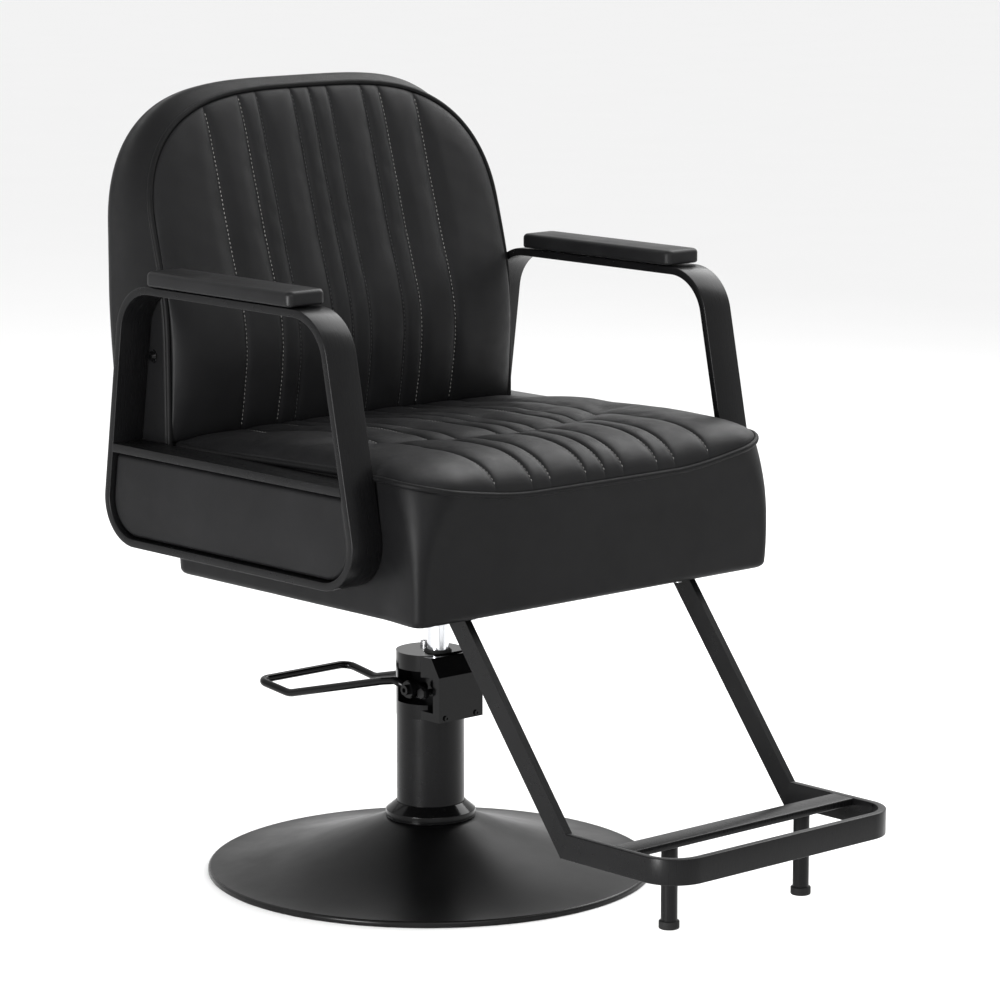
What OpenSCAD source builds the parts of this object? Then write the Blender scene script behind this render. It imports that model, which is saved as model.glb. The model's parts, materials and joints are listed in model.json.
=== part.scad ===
// Styling chair: a hydraulic hair-salon chair on a round dish base.
// +Z is up, the sitter faces -Y and the origin is on the column's axis at the floor.

/* [Base] */
// Radius of the round base
base_r = 290; // [250:1:330]
// Height of the rounded floor ring at the dish's edge
ring_h = 8; // [6:0.5:12]
// Height of the dish at its flat centre
dish_h = 70; // [60:1:85]
// Thickness of the pressed dish
dish_t = 3; // [2:0.5:4]

/* [Pump] */
// Radius of the column tube
column_r = 44; // [42:0.5:48]
// Height at which the pump head starts
head_z = 207; // [190:1:215]
// Height of the pump head's top face
head_top = 291; // [285:1:300]
// Radius of the piston rod
rod_r = 14; // [12:0.5:15]
// How far the rod stands in front of the column's axis
rod_front = 15; // [12:1:16]
// Radial running clearance of a shaft in its bore
run_fit = 0.05; // [0.02:0.01:0.09]

/* [Pedal] */
// Height of the pedal's pivot axis
pedal_z = 248; // [244:1:252]
// Distance of the pedal's pivot axis in front of the column's axis
pedal_front = 17; // [15:1:18]
// Diameter of the bent pedal bar
pedal_d = 10; // [8:0.5:12]
// Half the width of the pedal's end bar
pedal_half_w = 75; // [66:1:80]
// How far the pedal reaches behind the column's axis
pedal_reach = 256; // [220:1:270]

/* [Seat] */
// Height of the seat box's underside
seat_z = 406; // [400:1:420]
// Half the width of the seat box
seat_half_w = 290; // [270:1:291]
// Distance of the seat's front face from the column's axis
seat_front = 318; // [300:1:330]
// Distance of the seat's rear face from the column's axis
seat_rear = 165; // [150:1:166]
// Height of the seat box's upper edge, just below the piping
seat_edge_z = 548; // [540:1:560]
// Height of the seat cushion's crown
seat_top = 598; // [590:1:601]

/* [Backrest] */
// Height of the top of the backrest
back_top = 1015; // [990:1:1040]
// Height of the piping at the top of the backrest
back_pipe_top = 1007; // [985:1:1030]
// Height of the backrest's lower edge
back_z = 456; // [450:1:470]
// Height above which the backrest's sides curve in to its arched top
back_arch_z = 840; // [820:1:860]

/* [Arms] */
// Width of the flat strip that the arm frames are bent from
strip_w = 47; // [40:1:50]
// Thickness of that strip
strip_t = 10; // [8:0.5:12]
// Inner face of the arm frames, from the middle of the chair
arm_x = 293; // [293:1:300]
// Height of the arm frames' underside
arm_z = 442; // [436:1:448]
// Height of the arm frames' top
arm_top = 777; // [760:1:790]
// Width of an arm pad
pad_w = 58; // [50:1:64]
// Length of an arm pad
pad_len = 284; // [250:1:290]
// Thickness of an arm pad
pad_h = 20; // [16:1:24]

/* [Footrest] */
// Half the outer width of the footrest
foot_half_w = 195.5; // [180:0.5:210]
// Thickness of the footrest's flat bar
foot_t = 10; // [8:0.5:12]
// Height of the footrest's lower edge
foot_z = 137.6; // [130:0.2:150]
// Height of the footrest's upper edge
foot_top = 169; // [162:0.5:176]
// Distance of the footrest's front from the column's axis
foot_front = 648; // [600:1:680]

/* [Hidden] */
$fn = 64;
eps = 0.01;

// base
dish_flat_r = 60;
dish_steps = 24;
ring_w = 9;
boss_r = 58;
ballast_r = 250;
ballast_t = 5;
foot_disc_r = 54;
foot_disc_h = 9;
tube_t = 4;
bolt_pcd_r = 47;

// pump
cyl_in_r = 18;
cyl_out_r = 21.5;
cyl_z0 = 12;
cyl_z1 = 225;
head_r = 44.5;
cover_w = 37.5;
cover_t = 2.5;
cover_front = 60;
cover_back = 24;
bush_r = 16.5;
bush_z = 264;
lever_front = 36;
lever_z = 245;
lever_pin_r = 4;
plunger_front = 43;
plunger_r = 4.5;
pocket_y = -31.2;
side_flat_x = 39;
hub_r = 11.5;
hub_x0 = 40;
hub_x1 = 52;
trunnion_r = 6;

// rod and swivel
rod_z0 = 80;
rod_z1 = 395;
washer_z = 352;
hub_z = 356.3;
plate_z = 398;

// upholstery
box_corner_r = 14;
edge_corner_r = 62;
flare = 7;
flare_y = 266;
seam_front = 327.5;
seam_lift = 5.5;
seam_climb = 19.5;
seam_start = 110;
seam_span = 290;
pipe_r = 3.6;
board_t = 18;
cushion_gap = 0.5;
back_half_w = 290;
back_rear = 308;
back_plan_r = 24;
board_y = 262;
back_board_t = 12;

// arm frames, outer corners as [y, z]
arm_outer = [[248.3, arm_z], [201.8, arm_top], [-193.2, arm_top], [-262.9, arm_z]];
arm_outer_r = [58, 65, 65, 58];
rail_z0 = 560;
rail_z1 = 571;

// a unit vector
function unit(v) = v / norm(v);

// the points of the arc of radius r that rounds the corner v between its neighbours a and b
function corner_arc(a, v, b, r, n) =
  let (d1 = unit(a - v), d2 = unit(b - v), half = acos(d1 * d2) / 2,
    c = v + unit(d1 + d2) * (r / sin(half)), p1 = v + d1 * (r / tan(half)) - c,
    p2 = v + d2 * (r / tan(half)) - c, t1 = atan2(p1[1], p1[0]),
    turn0 = atan2(p2[1], p2[0]) - t1,
    turn = turn0 > 180 ? turn0 - 360 : turn0 < -180 ? turn0 + 360 : turn0)
  [for (i = [0:n]) c + r * [cos(t1 + turn * i / n), sin(t1 + turn * i / n)]];

// a closed outline with each corner rounded to its own radius
function rounded(pts, radii, n = 10) =
  let (m = len(pts))
  [for (i = [0:m - 1])
    for (p = corner_arc(pts[(i + m - 1) % m], pts[i], pts[(i + 1) % m], radii[i], n)) p];

// the signed area of a closed outline, positive when it runs anticlockwise
function area2(pts) =
  let (m = len(pts))
  [for (i = [0:m - 1]) pts[i][0] * pts[(i + 1) % m][1] - pts[(i + 1) % m][0] * pts[i][1]]
  * [for (i = [0:m - 1]) 1] / 2;

// the same convex outline moved inwards by t
function inset(pts, t) =
  let (m = len(pts), s = area2(pts) > 0 ? 1 : -1)
  [for (i = [0:m - 1])
    let (e1 = unit(pts[i] - pts[(i + m - 1) % m]), e2 = unit(pts[(i + 1) % m] - pts[i]),
      n1 = s * [-e1[1], e1[0]], n2 = s * [-e2[1], e2[0]])
    pts[i] + t * (n1 + n2) / (1 + n1 * n2)];

// a rectangle's corners
function box_pts(x0, y0, x1, y1) = [[x0, y0], [x1, y0], [x1, y1], [x0, y1]];

// y on the straight line between two [y, z] points, at height z
function y_on(a, b, z) = a[0] + (b[0] - a[0]) * (z - a[1]) / (b[1] - a[1]);

// the ring of points of radius r that a swept tube has at point i of its path
function tube_ring(path, i, r, sides, closed) =
  let (m = len(path), a = closed ? path[(i + m - 1) % m] : path[max(i - 1, 0)],
    b = closed ? path[(i + 1) % m] : path[min(i + 1, m - 1)],
    t = unit(b - a), ref = abs(t[2]) < 0.9 ? [0, 0, 1] : [0, 1, 0],
    u = unit(cross(ref, t)), w = cross(t, u))
  [for (k = [0:sides - 1]) path[i] + r * (u * cos(360 * k / sides) + w * sin(360 * k / sides))];

// a tube of radius r swept along a path of points
module tube(path, r, sides = 8, closed = false) {
  m = len(path);
  last = closed ? m - 1 : m - 2;
  pts = [for (i = [0:m - 1]) each tube_ring(path, i, r, sides, closed)];
  skin = [for (i = [0:last])
    for (k = [0:sides - 1])
      let (j = (i + 1) % m, l = (k + 1) % sides)
      [i * sides + k, i * sides + l, j * sides + l, j * sides + k]];
  caps = closed ? [] : [[for (k = [sides - 1:-1:0]) k],
    [for (k = [0:sides - 1]) (m - 1) * sides + k]];
  polyhedron(points = pts, faces = concat([for (f = skin) [for (k = [3:-1:0]) f[k]]],
    [for (f = caps) [for (k = [len(f) - 1:-1:0]) f[k]]]), convexity = 6);
}

// a cylinder along X from x0 to x1 at the given y and z
module rod_x(x0, x1, y, z, r) {
  translate([x0, y, z]) rotate([0, 90, 0]) cylinder(r = r, h = x1 - x0);
}

// both the right-hand and left-hand copy of what it holds
module both() {
  children();
  mirror([1, 0, 0]) children();
}

// a side profile given as [y, z] points, drawn from x0 to x1
module side_profile(pts, x0, x1) {
  translate([x0, 0, 0]) rotate([90, 0, 90]) linear_extrude(x1 - x0) polygon(pts);
}

// the four directions of the base bolts
function bolt_angles() = [for (i = [0:3]) 45 + 90 * i];

// height of the dish's outer skin at radius r
function dish_z(r) = ring_h + (dish_h - ring_h) * pow((base_r - r) / (base_r - dish_flat_r), 1.5);

module base_dish() {
  edge = base_r - 3;
  radii = [for (i = [0:dish_steps]) dish_flat_r + (edge - dish_flat_r) * i / dish_steps];
  outer = [for (r = radii) [r, dish_z(r)]];
  inner = [for (i = [dish_steps:-1:0]) [radii[i] - (i == dish_steps ? 3 : 1), dish_z(radii[i]) - dish_t]];
  color("#1c1c1e") difference() {
    rotate_extrude($fn = 128)
      polygon(concat([[40, dish_h]], outer, inner, [[40, dish_h - dish_t]]));
    for (a = bolt_angles()) rotate(a) translate([bolt_pcd_r, 0, dish_h - 2 * dish_t])
      cylinder(r = 4.3, h = 4 * dish_t);
  }
}

module base_ring() {
  lip = rounded([[base_r - ring_w, 0], [base_r, 0], [base_r, ring_h], [base_r - 3, ring_h]],
    [0.5, 3.2, 2.5, 0.3], 5);
  inner = dish_z(base_r - 3) - dish_t - 0.4;
  color("#0b0b0c") rotate_extrude($fn = 128) difference() {
    polygon(concat(lip, [[base_r - 6.4, inner], [base_r - ring_w, inner]]));
    translate([base_r - 12, inner + eps]) square([9.1, ring_h]);
  }
}

module ballast_plate() {
  color("#3a3a3c") difference() {
    union() {
      translate([0, 0, 3]) cylinder(r = ballast_r, h = ballast_t, $fn = 96);
      translate([0, 0, 3]) cylinder(r = boss_r - 1, h = dish_h - dish_t - 3.4);
    }
    translate([0, -rod_front, -1]) cylinder(r = cyl_out_r + 0.3, h = dish_h + 2);
    for (a = bolt_angles()) rotate(a) translate([bolt_pcd_r, 0, 0]) {
      cylinder(r = 4.3, h = dish_h);
      cylinder(r = 8.5, h = 12);
    }
  }
}

module base_bolts() {
  color("#8d8f94") for (a = bolt_angles()) rotate(a) translate([bolt_pcd_r, 0, 0]) {
    difference() {
      translate([0, 0, 4]) cylinder(r = 6.5, h = 8);
      translate([0, 0, 3]) cylinder(r = 3.4, h = 5, $fn = 6);
    }
    translate([0, 0, 12 - eps]) cylinder(r = 4, h = dish_h + foot_disc_h - 15);
  }
}

module pump_foot() {
  color("#2a2a2c") difference() {
    union() {
      translate([0, 0, dish_h]) cylinder(r = foot_disc_r, h = foot_disc_h);
      translate([0, 0, dish_h]) cylinder(r = column_r - tube_t, h = foot_disc_h + 16);
    }
    translate([0, -rod_front, dish_h - 1]) cylinder(r = cyl_out_r + 0.3, h = 40);
    for (a = bolt_angles()) rotate(a) translate([bolt_pcd_r, 0, dish_h - 1])
      cylinder(r = 4, h = foot_disc_h - 1);
  }
}

module column_collar() {
  color("#141416") rotate_extrude($fn = 96) polygon([[55, dish_h + 0.2], [58, dish_h + 0.2],
    [58.6, dish_h + 1], [58.6, dish_h + 9], [57.8, dish_h + 10.4], [column_r + 1.2, dish_h + 21],
    [column_r + 0.3, dish_h + 21], [column_r + 0.3, dish_h + 15], [55, dish_h + 10]]);
}

module column_tube() {
  color("#1e1e20") translate([0, 0, dish_h + foot_disc_h]) difference() {
    cylinder(r = column_r, h = head_z - dish_h - foot_disc_h, $fn = 96);
    translate([0, 0, -1]) cylinder(r = column_r - tube_t, h = head_z, $fn = 96);
  }
}

module main_cylinder() {
  color("#9a9ca0") translate([0, -rod_front, 0]) difference() {
    translate([0, 0, cyl_z0 - 6]) cylinder(r = cyl_out_r, h = cyl_z1 - cyl_z0 + 6);
    translate([0, 0, cyl_z0]) cylinder(r = cyl_in_r, h = cyl_z1);
  }
}

module pump_head() {
  color("#151517") difference() {
    union() {
      translate([0, 0, head_z]) cylinder(r = head_r, h = head_top - head_z, $fn = 96);
      translate([0, 0, head_z - 14]) cylinder(r = column_r - tube_t, h = 15);
      translate([-13, -52, bush_z]) cube([26, 20, 10]);
    }
    translate([0, -rod_front, head_z - 20]) cylinder(r = cyl_out_r + 0.2, h = cyl_z1 - head_z + 20.2);
    translate([0, -rod_front, head_z]) cylinder(r = rod_r + 0.6, h = 100);
    translate([0, -rod_front, bush_z]) cylinder(r = bush_r, h = 40);
    // pocket for the lever pin and the plunger
    translate([-60, -70, head_z + 8]) cube([120, 70 + pocket_y, bush_z - head_z - 8]);
    translate([-60, -70, bush_z - 1]) cube([47, 70 + pocket_y - 2, head_top - bush_z + 2]);
    translate([13, -70, bush_z - 1]) cube([47, 70 + pocket_y - 2, head_top - bush_z + 2]);
    translate([-14, -70, bush_z + 10]) cube([28, 70 + pocket_y - 2, 40]);
    translate([-60, -70, head_z - eps]) cube([120, 70 - 38, 9]);
    translate([0, -plunger_front, bush_z - 1]) cylinder(r = 8, h = 40);
    // flats that let the pedal's hubs and levers swing
    for (x = [side_flat_x, -60 - eps]) translate([x, -60, 226]) cube([60 - side_flat_x + 22, 76, 44]);
    for (s = [-1, 1]) rod_x(s > 0 ? 24 : -60, s > 0 ? 60 : -24, -pedal_front, pedal_z, trunnion_r);
    translate([15, 27, head_top - 16]) cylinder(r = 4, h = 20);
  }
}

// side outline of the cover, [y, z]
function cover_profile(t) = [[-cover_front + t, head_z + 1 - (t > 0 ? 2 : 0)],
  [-cover_front + t, head_top - 24 - t * 0.4], [-cover_front + 14 + t * 0.3, head_top - 2 - t],
  [-cover_front + 16 + t * 0.3, head_top - 0.6 - t], [-cover_back + t * 4, head_top - 0.6 - t],
  [-cover_back + t * 4, head_z + 1 - (t > 0 ? 2 : 0)]];

module pump_cover() {
  color("#0f0f11") difference() {
    side_profile(cover_profile(0), -cover_w, cover_w);
    side_profile(cover_profile(cover_t), -cover_w + cover_t, cover_w - cover_t);
    translate([0, 0, head_z - 5]) cylinder(r = head_r + 0.2, h = 100, $fn = 96);
    for (s = [-1, 1]) translate([s * 26, 0, 213]) rotate([90, 0, 0]) cylinder(r = 3.3, h = 80);
    // slots in the cheeks for the lever pin
    translate([-60, -48, 219]) cube([120, 30, 44]);
  }
}

module cover_screws() {
  color("#8d8f94") for (s = [-1, 1]) translate([s * 26, 0, 213]) rotate([90, 0, 0]) {
    translate([0, 0, cover_front]) difference() {
      cylinder(r = 3.6, h = 2.2);
      translate([0, 0, 1]) cylinder(r = 1.8, h = 2, $fn = 6);
    }
    translate([0, 0, cover_front - 2.4]) cylinder(r = 3.2, h = 2.4);
  }
}

module rod_bush() {
  color("#b08d57") translate([0, -rod_front, bush_z]) difference() {
    cylinder(r = bush_r, h = head_top - bush_z);
    translate([0, 0, -1]) cylinder(r = rod_r + run_fit, h = 60);
  }
}

module rod_wiper() {
  color("#0a0a0a") translate([0, -rod_front, head_top]) difference() {
    union() {
      cylinder(r = bush_r + 1.5, h = 1.4);
      cylinder(r = bush_r, h = 3);
    }
    translate([0, 0, -1]) cylinder(r = rod_r + 0.09, h = 6);
  }
}

module filler_screw() {
  color("#6f7175") translate([15, 27, head_top]) difference() {
    union() {
      cylinder(r = 6.5, h = 5);
      translate([0, 0, -14]) cylinder(r = 4, h = 15);
    }
    translate([0, 0, 2]) cylinder(r = 3.2, h = 6, $fn = 6);
  }
}

module plunger_barrel() {
  color("#a8aaae") translate([0, -plunger_front, bush_z]) difference() {
    cylinder(r = 8, h = 14);
    translate([0, 0, -1]) cylinder(r = plunger_r + run_fit, h = 16);
  }
}

// return spring between the plunger's block and the barrel, as a coil of [x, y, z] points
function coil_point(t) = [6.6 * cos(t * 360), -plunger_front + 6.6 * sin(t * 360),
  252 + (bush_z - 252.6 - 1.6) * t / 4 + 0.9];

module plunger_spring() {
  color("#9fa1a6") tube([for (i = [0:56]) coil_point(i / 14)], 0.7, 6);
}

module trunnion_bolts() {
  color("#1a1a1c") both() {
    rod_x(24, hub_x1 + 2, -pedal_front, pedal_z, trunnion_r);
    rod_x(hub_x1 + 0.3, hub_x1 + 2.3, -pedal_front, pedal_z, hub_r - 0.8);
    difference() {
      rod_x(hub_x1 + 2, hub_x1 + 8, -pedal_front, pedal_z, 6.6);
      translate([hub_x1 + 4, -pedal_front, pedal_z]) rotate([0, 90, 0]) cylinder(r = 3.4, h = 8, $fn = 6);
    }
  }
}

module piston_rod() {
  color("#d9dbde") translate([0, -rod_front, rod_z0]) {
    cylinder(r = rod_r, h = rod_z1 - rod_z0 - 2);
    translate([0, 0, rod_z1 - rod_z0 - 2]) cylinder(r1 = rod_r, r2 = rod_r - 2, h = 2);
  }
}

module rod_piston() {
  color("#77797d") translate([0, -rod_front, rod_z0 - 14]) cylinder(r = cyl_in_r - run_fit, h = 14);
}

module thrust_washer() {
  color("#c9a227") translate([0, -rod_front, washer_z]) difference() {
    cylinder(r = 25, h = 4);
    translate([0, 0, -1]) cylinder(r = rod_r, h = 6);
  }
}

// one arm of the pedal from its hub to the middle of the end bar, [x, y, z]
function pedal_side(s) =
  let (plan = corner_arc([58, 20], [pedal_half_w + 2, pedal_reach - 60], [pedal_half_w, pedal_reach], 60, 4),
    tail = corner_arc([pedal_half_w + 2, pedal_reach - 60], [pedal_half_w, pedal_reach],
      [0, pedal_reach], 16, 6))
  concat([[s * 46, -pedal_front, pedal_z], [s * 50, -2, 253], [s * 55, 16, 255], [s * 58, 30, 253]],
    [for (p = plan) [s * p[0], p[1], 211]],
    [for (p = tail) [s * p[0], p[1], 214]], [[0, pedal_reach, 216]]);

module pedal_bar() {
  half = [for (p = pedal_side(1)) if (p[0] > 0) p];
  other = [for (p = pedal_side(-1)) if (p[0] < 0) p];
  n = len(other);
  color("#17171a") difference() {
    tube(concat(half, [for (i = [n - 1:-1:0]) other[i]]), pedal_d / 2, 12);
    both() rod_x(hub_x0 - 10, hub_x1 + 10, -pedal_front, pedal_z, hub_r - 0.05);
  }
}

module pedal_hubs() {
  a = [-pedal_front, pedal_z];
  color("#101012") both() difference() {
    union() {
      rod_x(hub_x0, hub_x1, -pedal_front, pedal_z, hub_r);
      hull() {
        rod_x(hub_x0, hub_x0 + 4, -pedal_front, pedal_z, hub_r - 1);
        rod_x(hub_x0, hub_x0 + 4, -lever_front, lever_z, 7.5);
      }
    }
    rod_x(hub_x0 - 1, hub_x1 + 1, -pedal_front, pedal_z, trunnion_r + run_fit);
    rod_x(hub_x0 - 1, hub_x1 + 1, -lever_front, lever_z, lever_pin_r);
  }
}

module lever_pin() {
  color("#5d5f63") {
    rod_x(-hub_x0 - 4, hub_x0 + 4, -lever_front, lever_z, lever_pin_r);
    for (s = [-1, 1]) translate([s * (hub_x0 + 6), -lever_front, lever_z]) rotate([0, 90, 0])
      cylinder(r = 7, h = 4, center = true, $fn = 6);
  }
}

module plunger() {
  color("#85878b") difference() {
    union() {
      translate([-7, -plunger_front - 5, 233]) cube([14, 15.5, 19]);
      translate([0, -plunger_front, 251]) cylinder(r = plunger_r, h = 17);
    }
    translate([-8, -lever_front - lever_pin_r - 0.7, lever_z - lever_pin_r - 0.4])
      cube([16, 2 * lever_pin_r + 1.4, 2 * lever_pin_r + 0.8]);
  }
}

module mount_hub() {
  color("#202022") translate([0, -rod_front, 0]) difference() {
    union() {
      translate([0, 0, hub_z]) cylinder(r = 30, h = plate_z - hub_z);
      translate([0, 0, plate_z - 6]) cylinder(r = 40, h = 6);
    }
    translate([0, 0, hub_z - 1]) cylinder(r = rod_r + run_fit, h = plate_z - hub_z);
  }
}

module mount_plate() {
  color("#1a1a1c") translate([0, -rod_front, plate_z]) difference() {
    linear_extrude(seat_z - plate_z - 0.2)
      polygon(rounded(box_pts(-110, -110, 110, 110), [18, 18, 18, 18], 6));
    for (x = [-1, 1]) for (y = [-1, 1]) translate([90 * x, 90 * y, -1]) cylinder(r = 4.3, h = 20);
  }
}

module mount_bolts() {
  color("#8d8f94") for (x = [-1, 1]) for (y = [-1, 1])
    translate([90 * x, 90 * y - rod_front, plate_z]) {
      translate([0, 0, -5]) cylinder(r = 6.5, h = 5, $fn = 6);
      translate([0, 0, -eps]) cylinder(r = 4, h = 24);
    }
}

// plan outline of the seat, inset by t, with front corners of radius rf
function seat_plan(t, rf) = rounded(
  inset(box_pts(-seat_half_w, -seat_front, seat_half_w, seat_rear), t), [rf, rf, 24, 24], 8);

// the same outline for the leather: wider ahead of the arms, with its front edge at y = -front
function leather_plan(t, rf, front) = rounded(inset([[-seat_half_w - flare, -front],
    [seat_half_w + flare, -front], [seat_half_w + flare, -flare_y - 12], [seat_half_w, -flare_y],
    [seat_half_w, seat_rear], [-seat_half_w, seat_rear], [-seat_half_w, -flare_y],
    [-seat_half_w - flare, -flare_y - 12]], t), [rf, rf, 3, 3, 24, 24, 3, 3], 8);

module seat_board() {
  color("#b89368") difference() {
    translate([0, 0, seat_z + 2]) linear_extrude(board_t) polygon(seat_plan(16, 22));
    for (x = [-1, 1]) for (y = [-1, 1]) {
      translate([90 * x, 90 * y - rod_front, seat_z]) cylinder(r = 4, h = 20);
      translate([175 * x, -262 + 14 * y, seat_z]) cylinder(r = 4, h = 20);
    }
  }
}

module seat_box() {
  color("#19191b") difference() {
    intersection() {
      translate([0, 0, seat_z]) linear_extrude(seat_edge_z - seat_z)
        polygon(leather_plan(0, box_corner_r, seat_front));
      side_profile(rounded([[-seat_front, seat_z], [seat_rear, seat_z], [seat_rear, seat_edge_z],
        [-seat_front, seat_edge_z]], [6, 14, 0.5, 0.5], 6), -seat_half_w - flare, seat_half_w + flare);
    }
    translate([0, 0, seat_z - 1]) linear_extrude(seat_edge_z) polygon(seat_plan(15.5, 22));
    for (s = [-1, 1]) for (y = [-130, 60]) rod_x(s * 284 - 16, s * 284 + 16, y, 500, 4);
    for (x = [-150, 150]) for (z = [470, 520]) translate([x, seat_rear + 1, z])
      rotate([90, 0, 0]) cylinder(r = 4, h = 30);
  }
}

module seat_foam() {
  color("#d8cf9f") difference() {
    translate([0, 0, seat_z + board_t + 2.2])
      linear_extrude(seat_edge_z - seat_z - board_t - 2.2) polygon(seat_plan(16, 22));
    for (s = [-1, 1]) for (y = [-130, 60]) rod_x(s * 265 - 16, s * 265 + 16, y, 500, 9);
    for (x = [-150, 150]) for (z = [470, 520]) translate([x, seat_rear, z])
      rotate([90, 0, 0]) cylinder(r = 9, h = 40);
    for (x = [-1, 1]) for (y = [-1, 1]) translate([90 * x, 90 * y - rod_front, seat_z])
      cylinder(r = 5, h = 20);
    for (x = [-1, 1]) for (y = [-1, 1]) translate([175 * x, -262 + 14 * y, seat_z])
      cylinder(r = 5, h = 24);
  }
}

// height of the seat's seam at x, y: lowest at the middle of the front, rising round the corners
function seam_z(x, y) =
  let (u = max(0, min(1, (abs(x) + y + seam_front - seam_start) / seam_span)))
  seat_edge_z + seam_lift + seam_climb * u * u * (3 - 2 * u);

function seam_path(t) = [for (p = leather_plan(t, edge_corner_r, seam_front))
  [p[0], p[1], seam_z(p[0], p[1])]];

module seat_cushion() {
  color("#202022") hull() {
    translate([0, 0, seat_edge_z + cushion_gap]) linear_extrude(30)
      polygon(seat_plan(1, edge_corner_r));
    translate([0, 0, seat_top - 1]) linear_extrude(1) polygon(seat_plan(36, edge_corner_r));
  }
}

module seat_piping() {
  color("#0c0c0d") tube(seam_path(0.5), pipe_r, 8, true);
}

// front line of the backrest's edge, [y, z], from the bottom to the top
back_front = [[170, back_z], [169, 640], [172, 710], [184, 790], [212, 885], [227, 950],
  [240, back_pipe_top]];
// front line of the crowned cushion's middle, from the bottom to the top
back_crown = [[158, 603], [150, 650], [147, 690], [157, 748], [167, 786], [184, 836], [201, 891],
  [218, 946], [236, 990]];
// rear line, from the top to the bottom
back_rear_line = [[262, back_top - 2], [275, back_top], [back_rear - 20, back_top - 1],
  [back_rear - 6, 990], [back_rear, 930], [back_rear, 820],
  [back_rear - 8, 740], [back_rear - 22, 640], [back_rear - 34, back_z]];

// front view outline of the backrest, [x, z], inset by t: straight sides with small lower corners
// under an arch that is a superellipse of width exponent 3.3 and height exponent 2.2
function back_outline(t, top = back_top) =
  let (w = back_half_w - t, h = top - t - back_arch_z, low = back_z + t, r = 14)
  concat(corner_arc([0, low], [w, low], [w, back_arch_z], r, 4),
    [for (a = [0:6:180]) [w * sign(cos(a)) * pow(abs(cos(a)), 2 / 3.3),
      back_arch_z + h * pow(sin(a), 2 / 2.2)]],
    corner_arc([-w, back_arch_z], [-w, low], [0, low], r, 4));

// a slice of the backrest: its front outline, extruded from y0 to y1
module back_slice(t, y0, y1) {
  translate([0, y1, 0]) rotate([90, 0, 0]) linear_extrude(y1 - y0) polygon(back_outline(t));
}

// the whole backrest without its crown, with rounded upright rear corners
module back_solid() {
  intersection() {
    side_profile(concat(back_front, back_rear_line), -400, 400);
    back_slice(0, 100, 400);
    translate([0, 0, back_z - 10]) linear_extrude(back_top)
      polygon(rounded(box_pts(-back_half_w, 100, back_half_w, back_rear),
        [2, 2, back_plan_r, back_plan_r], 6));
  }
}

module back_foam() {
  color("#1b1b1d") difference() {
    intersection() {
      back_solid();
      translate([-400, 0, 0]) cube([800, board_y, 2000]);
    }
    for (s = [-1, 1]) rod_x(s * 270 - 25, s * 270 + 25, 199, 680, 4);
    for (x = [-150, 150]) for (z = [470, 520]) translate([x, 300, z]) rotate([90, 0, 0])
      cylinder(r = 4, h = 200);
  }
}

module back_board() {
  color("#b89368") difference() {
    back_slice(8, board_y, board_y + back_board_t);
    translate([-400, board_y - 1, 0]) cube([800, 40, back_z + 16]);
    for (x = [-150, 150]) for (z = [470, 520]) translate([x, 300, z]) rotate([90, 0, 0])
      cylinder(r = 4, h = 200);
  }
}

module back_cover() {
  color("#19191b") intersection() {
    back_solid();
    translate([-400, board_y + back_board_t, 0]) cube([800, 100, 2000]);
  }
}

module back_cushion() {
  depth = 0.5;
  gap_line = [for (i = [len(back_front) - 1:-1:1]) [back_front[i][0] - depth, back_front[i][1]]];
  upper = [for (p = gap_line) if (p[1] > 603 && p[1] < 1000) p];
  color("#202022") intersection() {
    side_profile(concat(back_crown, [[237.5, 996]], upper, [[168.5, 603]]), -400, 400);
    back_slice(10, 100, 400);
  }
}

// y of the front line at height z
function front_y(z, i = 0) = i >= len(back_front) - 2 || z <= back_front[i + 1][1] ?
  y_on(back_front[i], back_front[i + 1], z) : front_y(z, i + 1);

module back_piping() {
  color("#0c0c0d") tube([for (p = back_outline(0.5, back_pipe_top)) [p[0], front_y(p[1]), p[1]]],
    pipe_r, 8, true);
}

module back_straps() {
  color("#2c2c2e") for (x = [-150, 150]) difference() {
    translate([x - 22, seat_rear + 0.2, 462]) cube([44, 3.6, 78]);
    for (z = [470, 520]) translate([x, 200, z]) rotate([90, 0, 0]) cylinder(r = 4, h = 60);
  }
}

module strap_bolts() {
  color("#8d8f94") for (x = [-150, 150]) for (z = [470, 520]) translate([x, 0, z]) rotate([90, 0, 0]) {
    translate([0, 0, -board_y - back_board_t]) cylinder(r = 4, h = board_y + back_board_t - 142);
    translate([0, 0, -149]) cylinder(r = 7, h = 7, $fn = 6);
  }
}

module back_side_bolts() {
  color("#2e2e31") both() {
    difference() {
      union() {
        rod_x(246, back_half_w + 0.2, 199, 680, 4);
        rod_x(back_half_w, back_half_w + 1.5, 199, 680, 9.5);
        translate([back_half_w + 1.5, 199, 680]) rotate([0, 90, 0]) cylinder(r1 = 7, r2 = 5, h = 4);
      }
      translate([back_half_w + 3, 199, 680]) rotate([0, 90, 0]) cylinder(r = 2.9, h = 4, $fn = 6);
    }
  }
}

// the arm frame's inner contour, inset by t from its outer corners, as [y, z] corners
function arm_inner(t) = inset(arm_outer, t);

// y of the loop's inner face at height z, at the front (s = -1) or at the rear (s = 1)
function loop_y(s, z) = let (c = arm_inner(strip_t)) s < 0 ? y_on(c[3], c[2], z) : y_on(c[0], c[1], z);

module arm_frame() {
  difference() {
    side_profile(rounded(arm_outer, arm_outer_r, 12), arm_x, arm_x + strip_w);
    side_profile(rounded(arm_inner(strip_t), [for (r = arm_outer_r) r - strip_t], 12), arm_x - 1,
      arm_x + strip_w + 1);
    for (y = [-95, 95]) translate([arm_x + strip_w / 2, y, arm_top - 20]) cylinder(r = 3, h = 40);
  }
}

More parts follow.
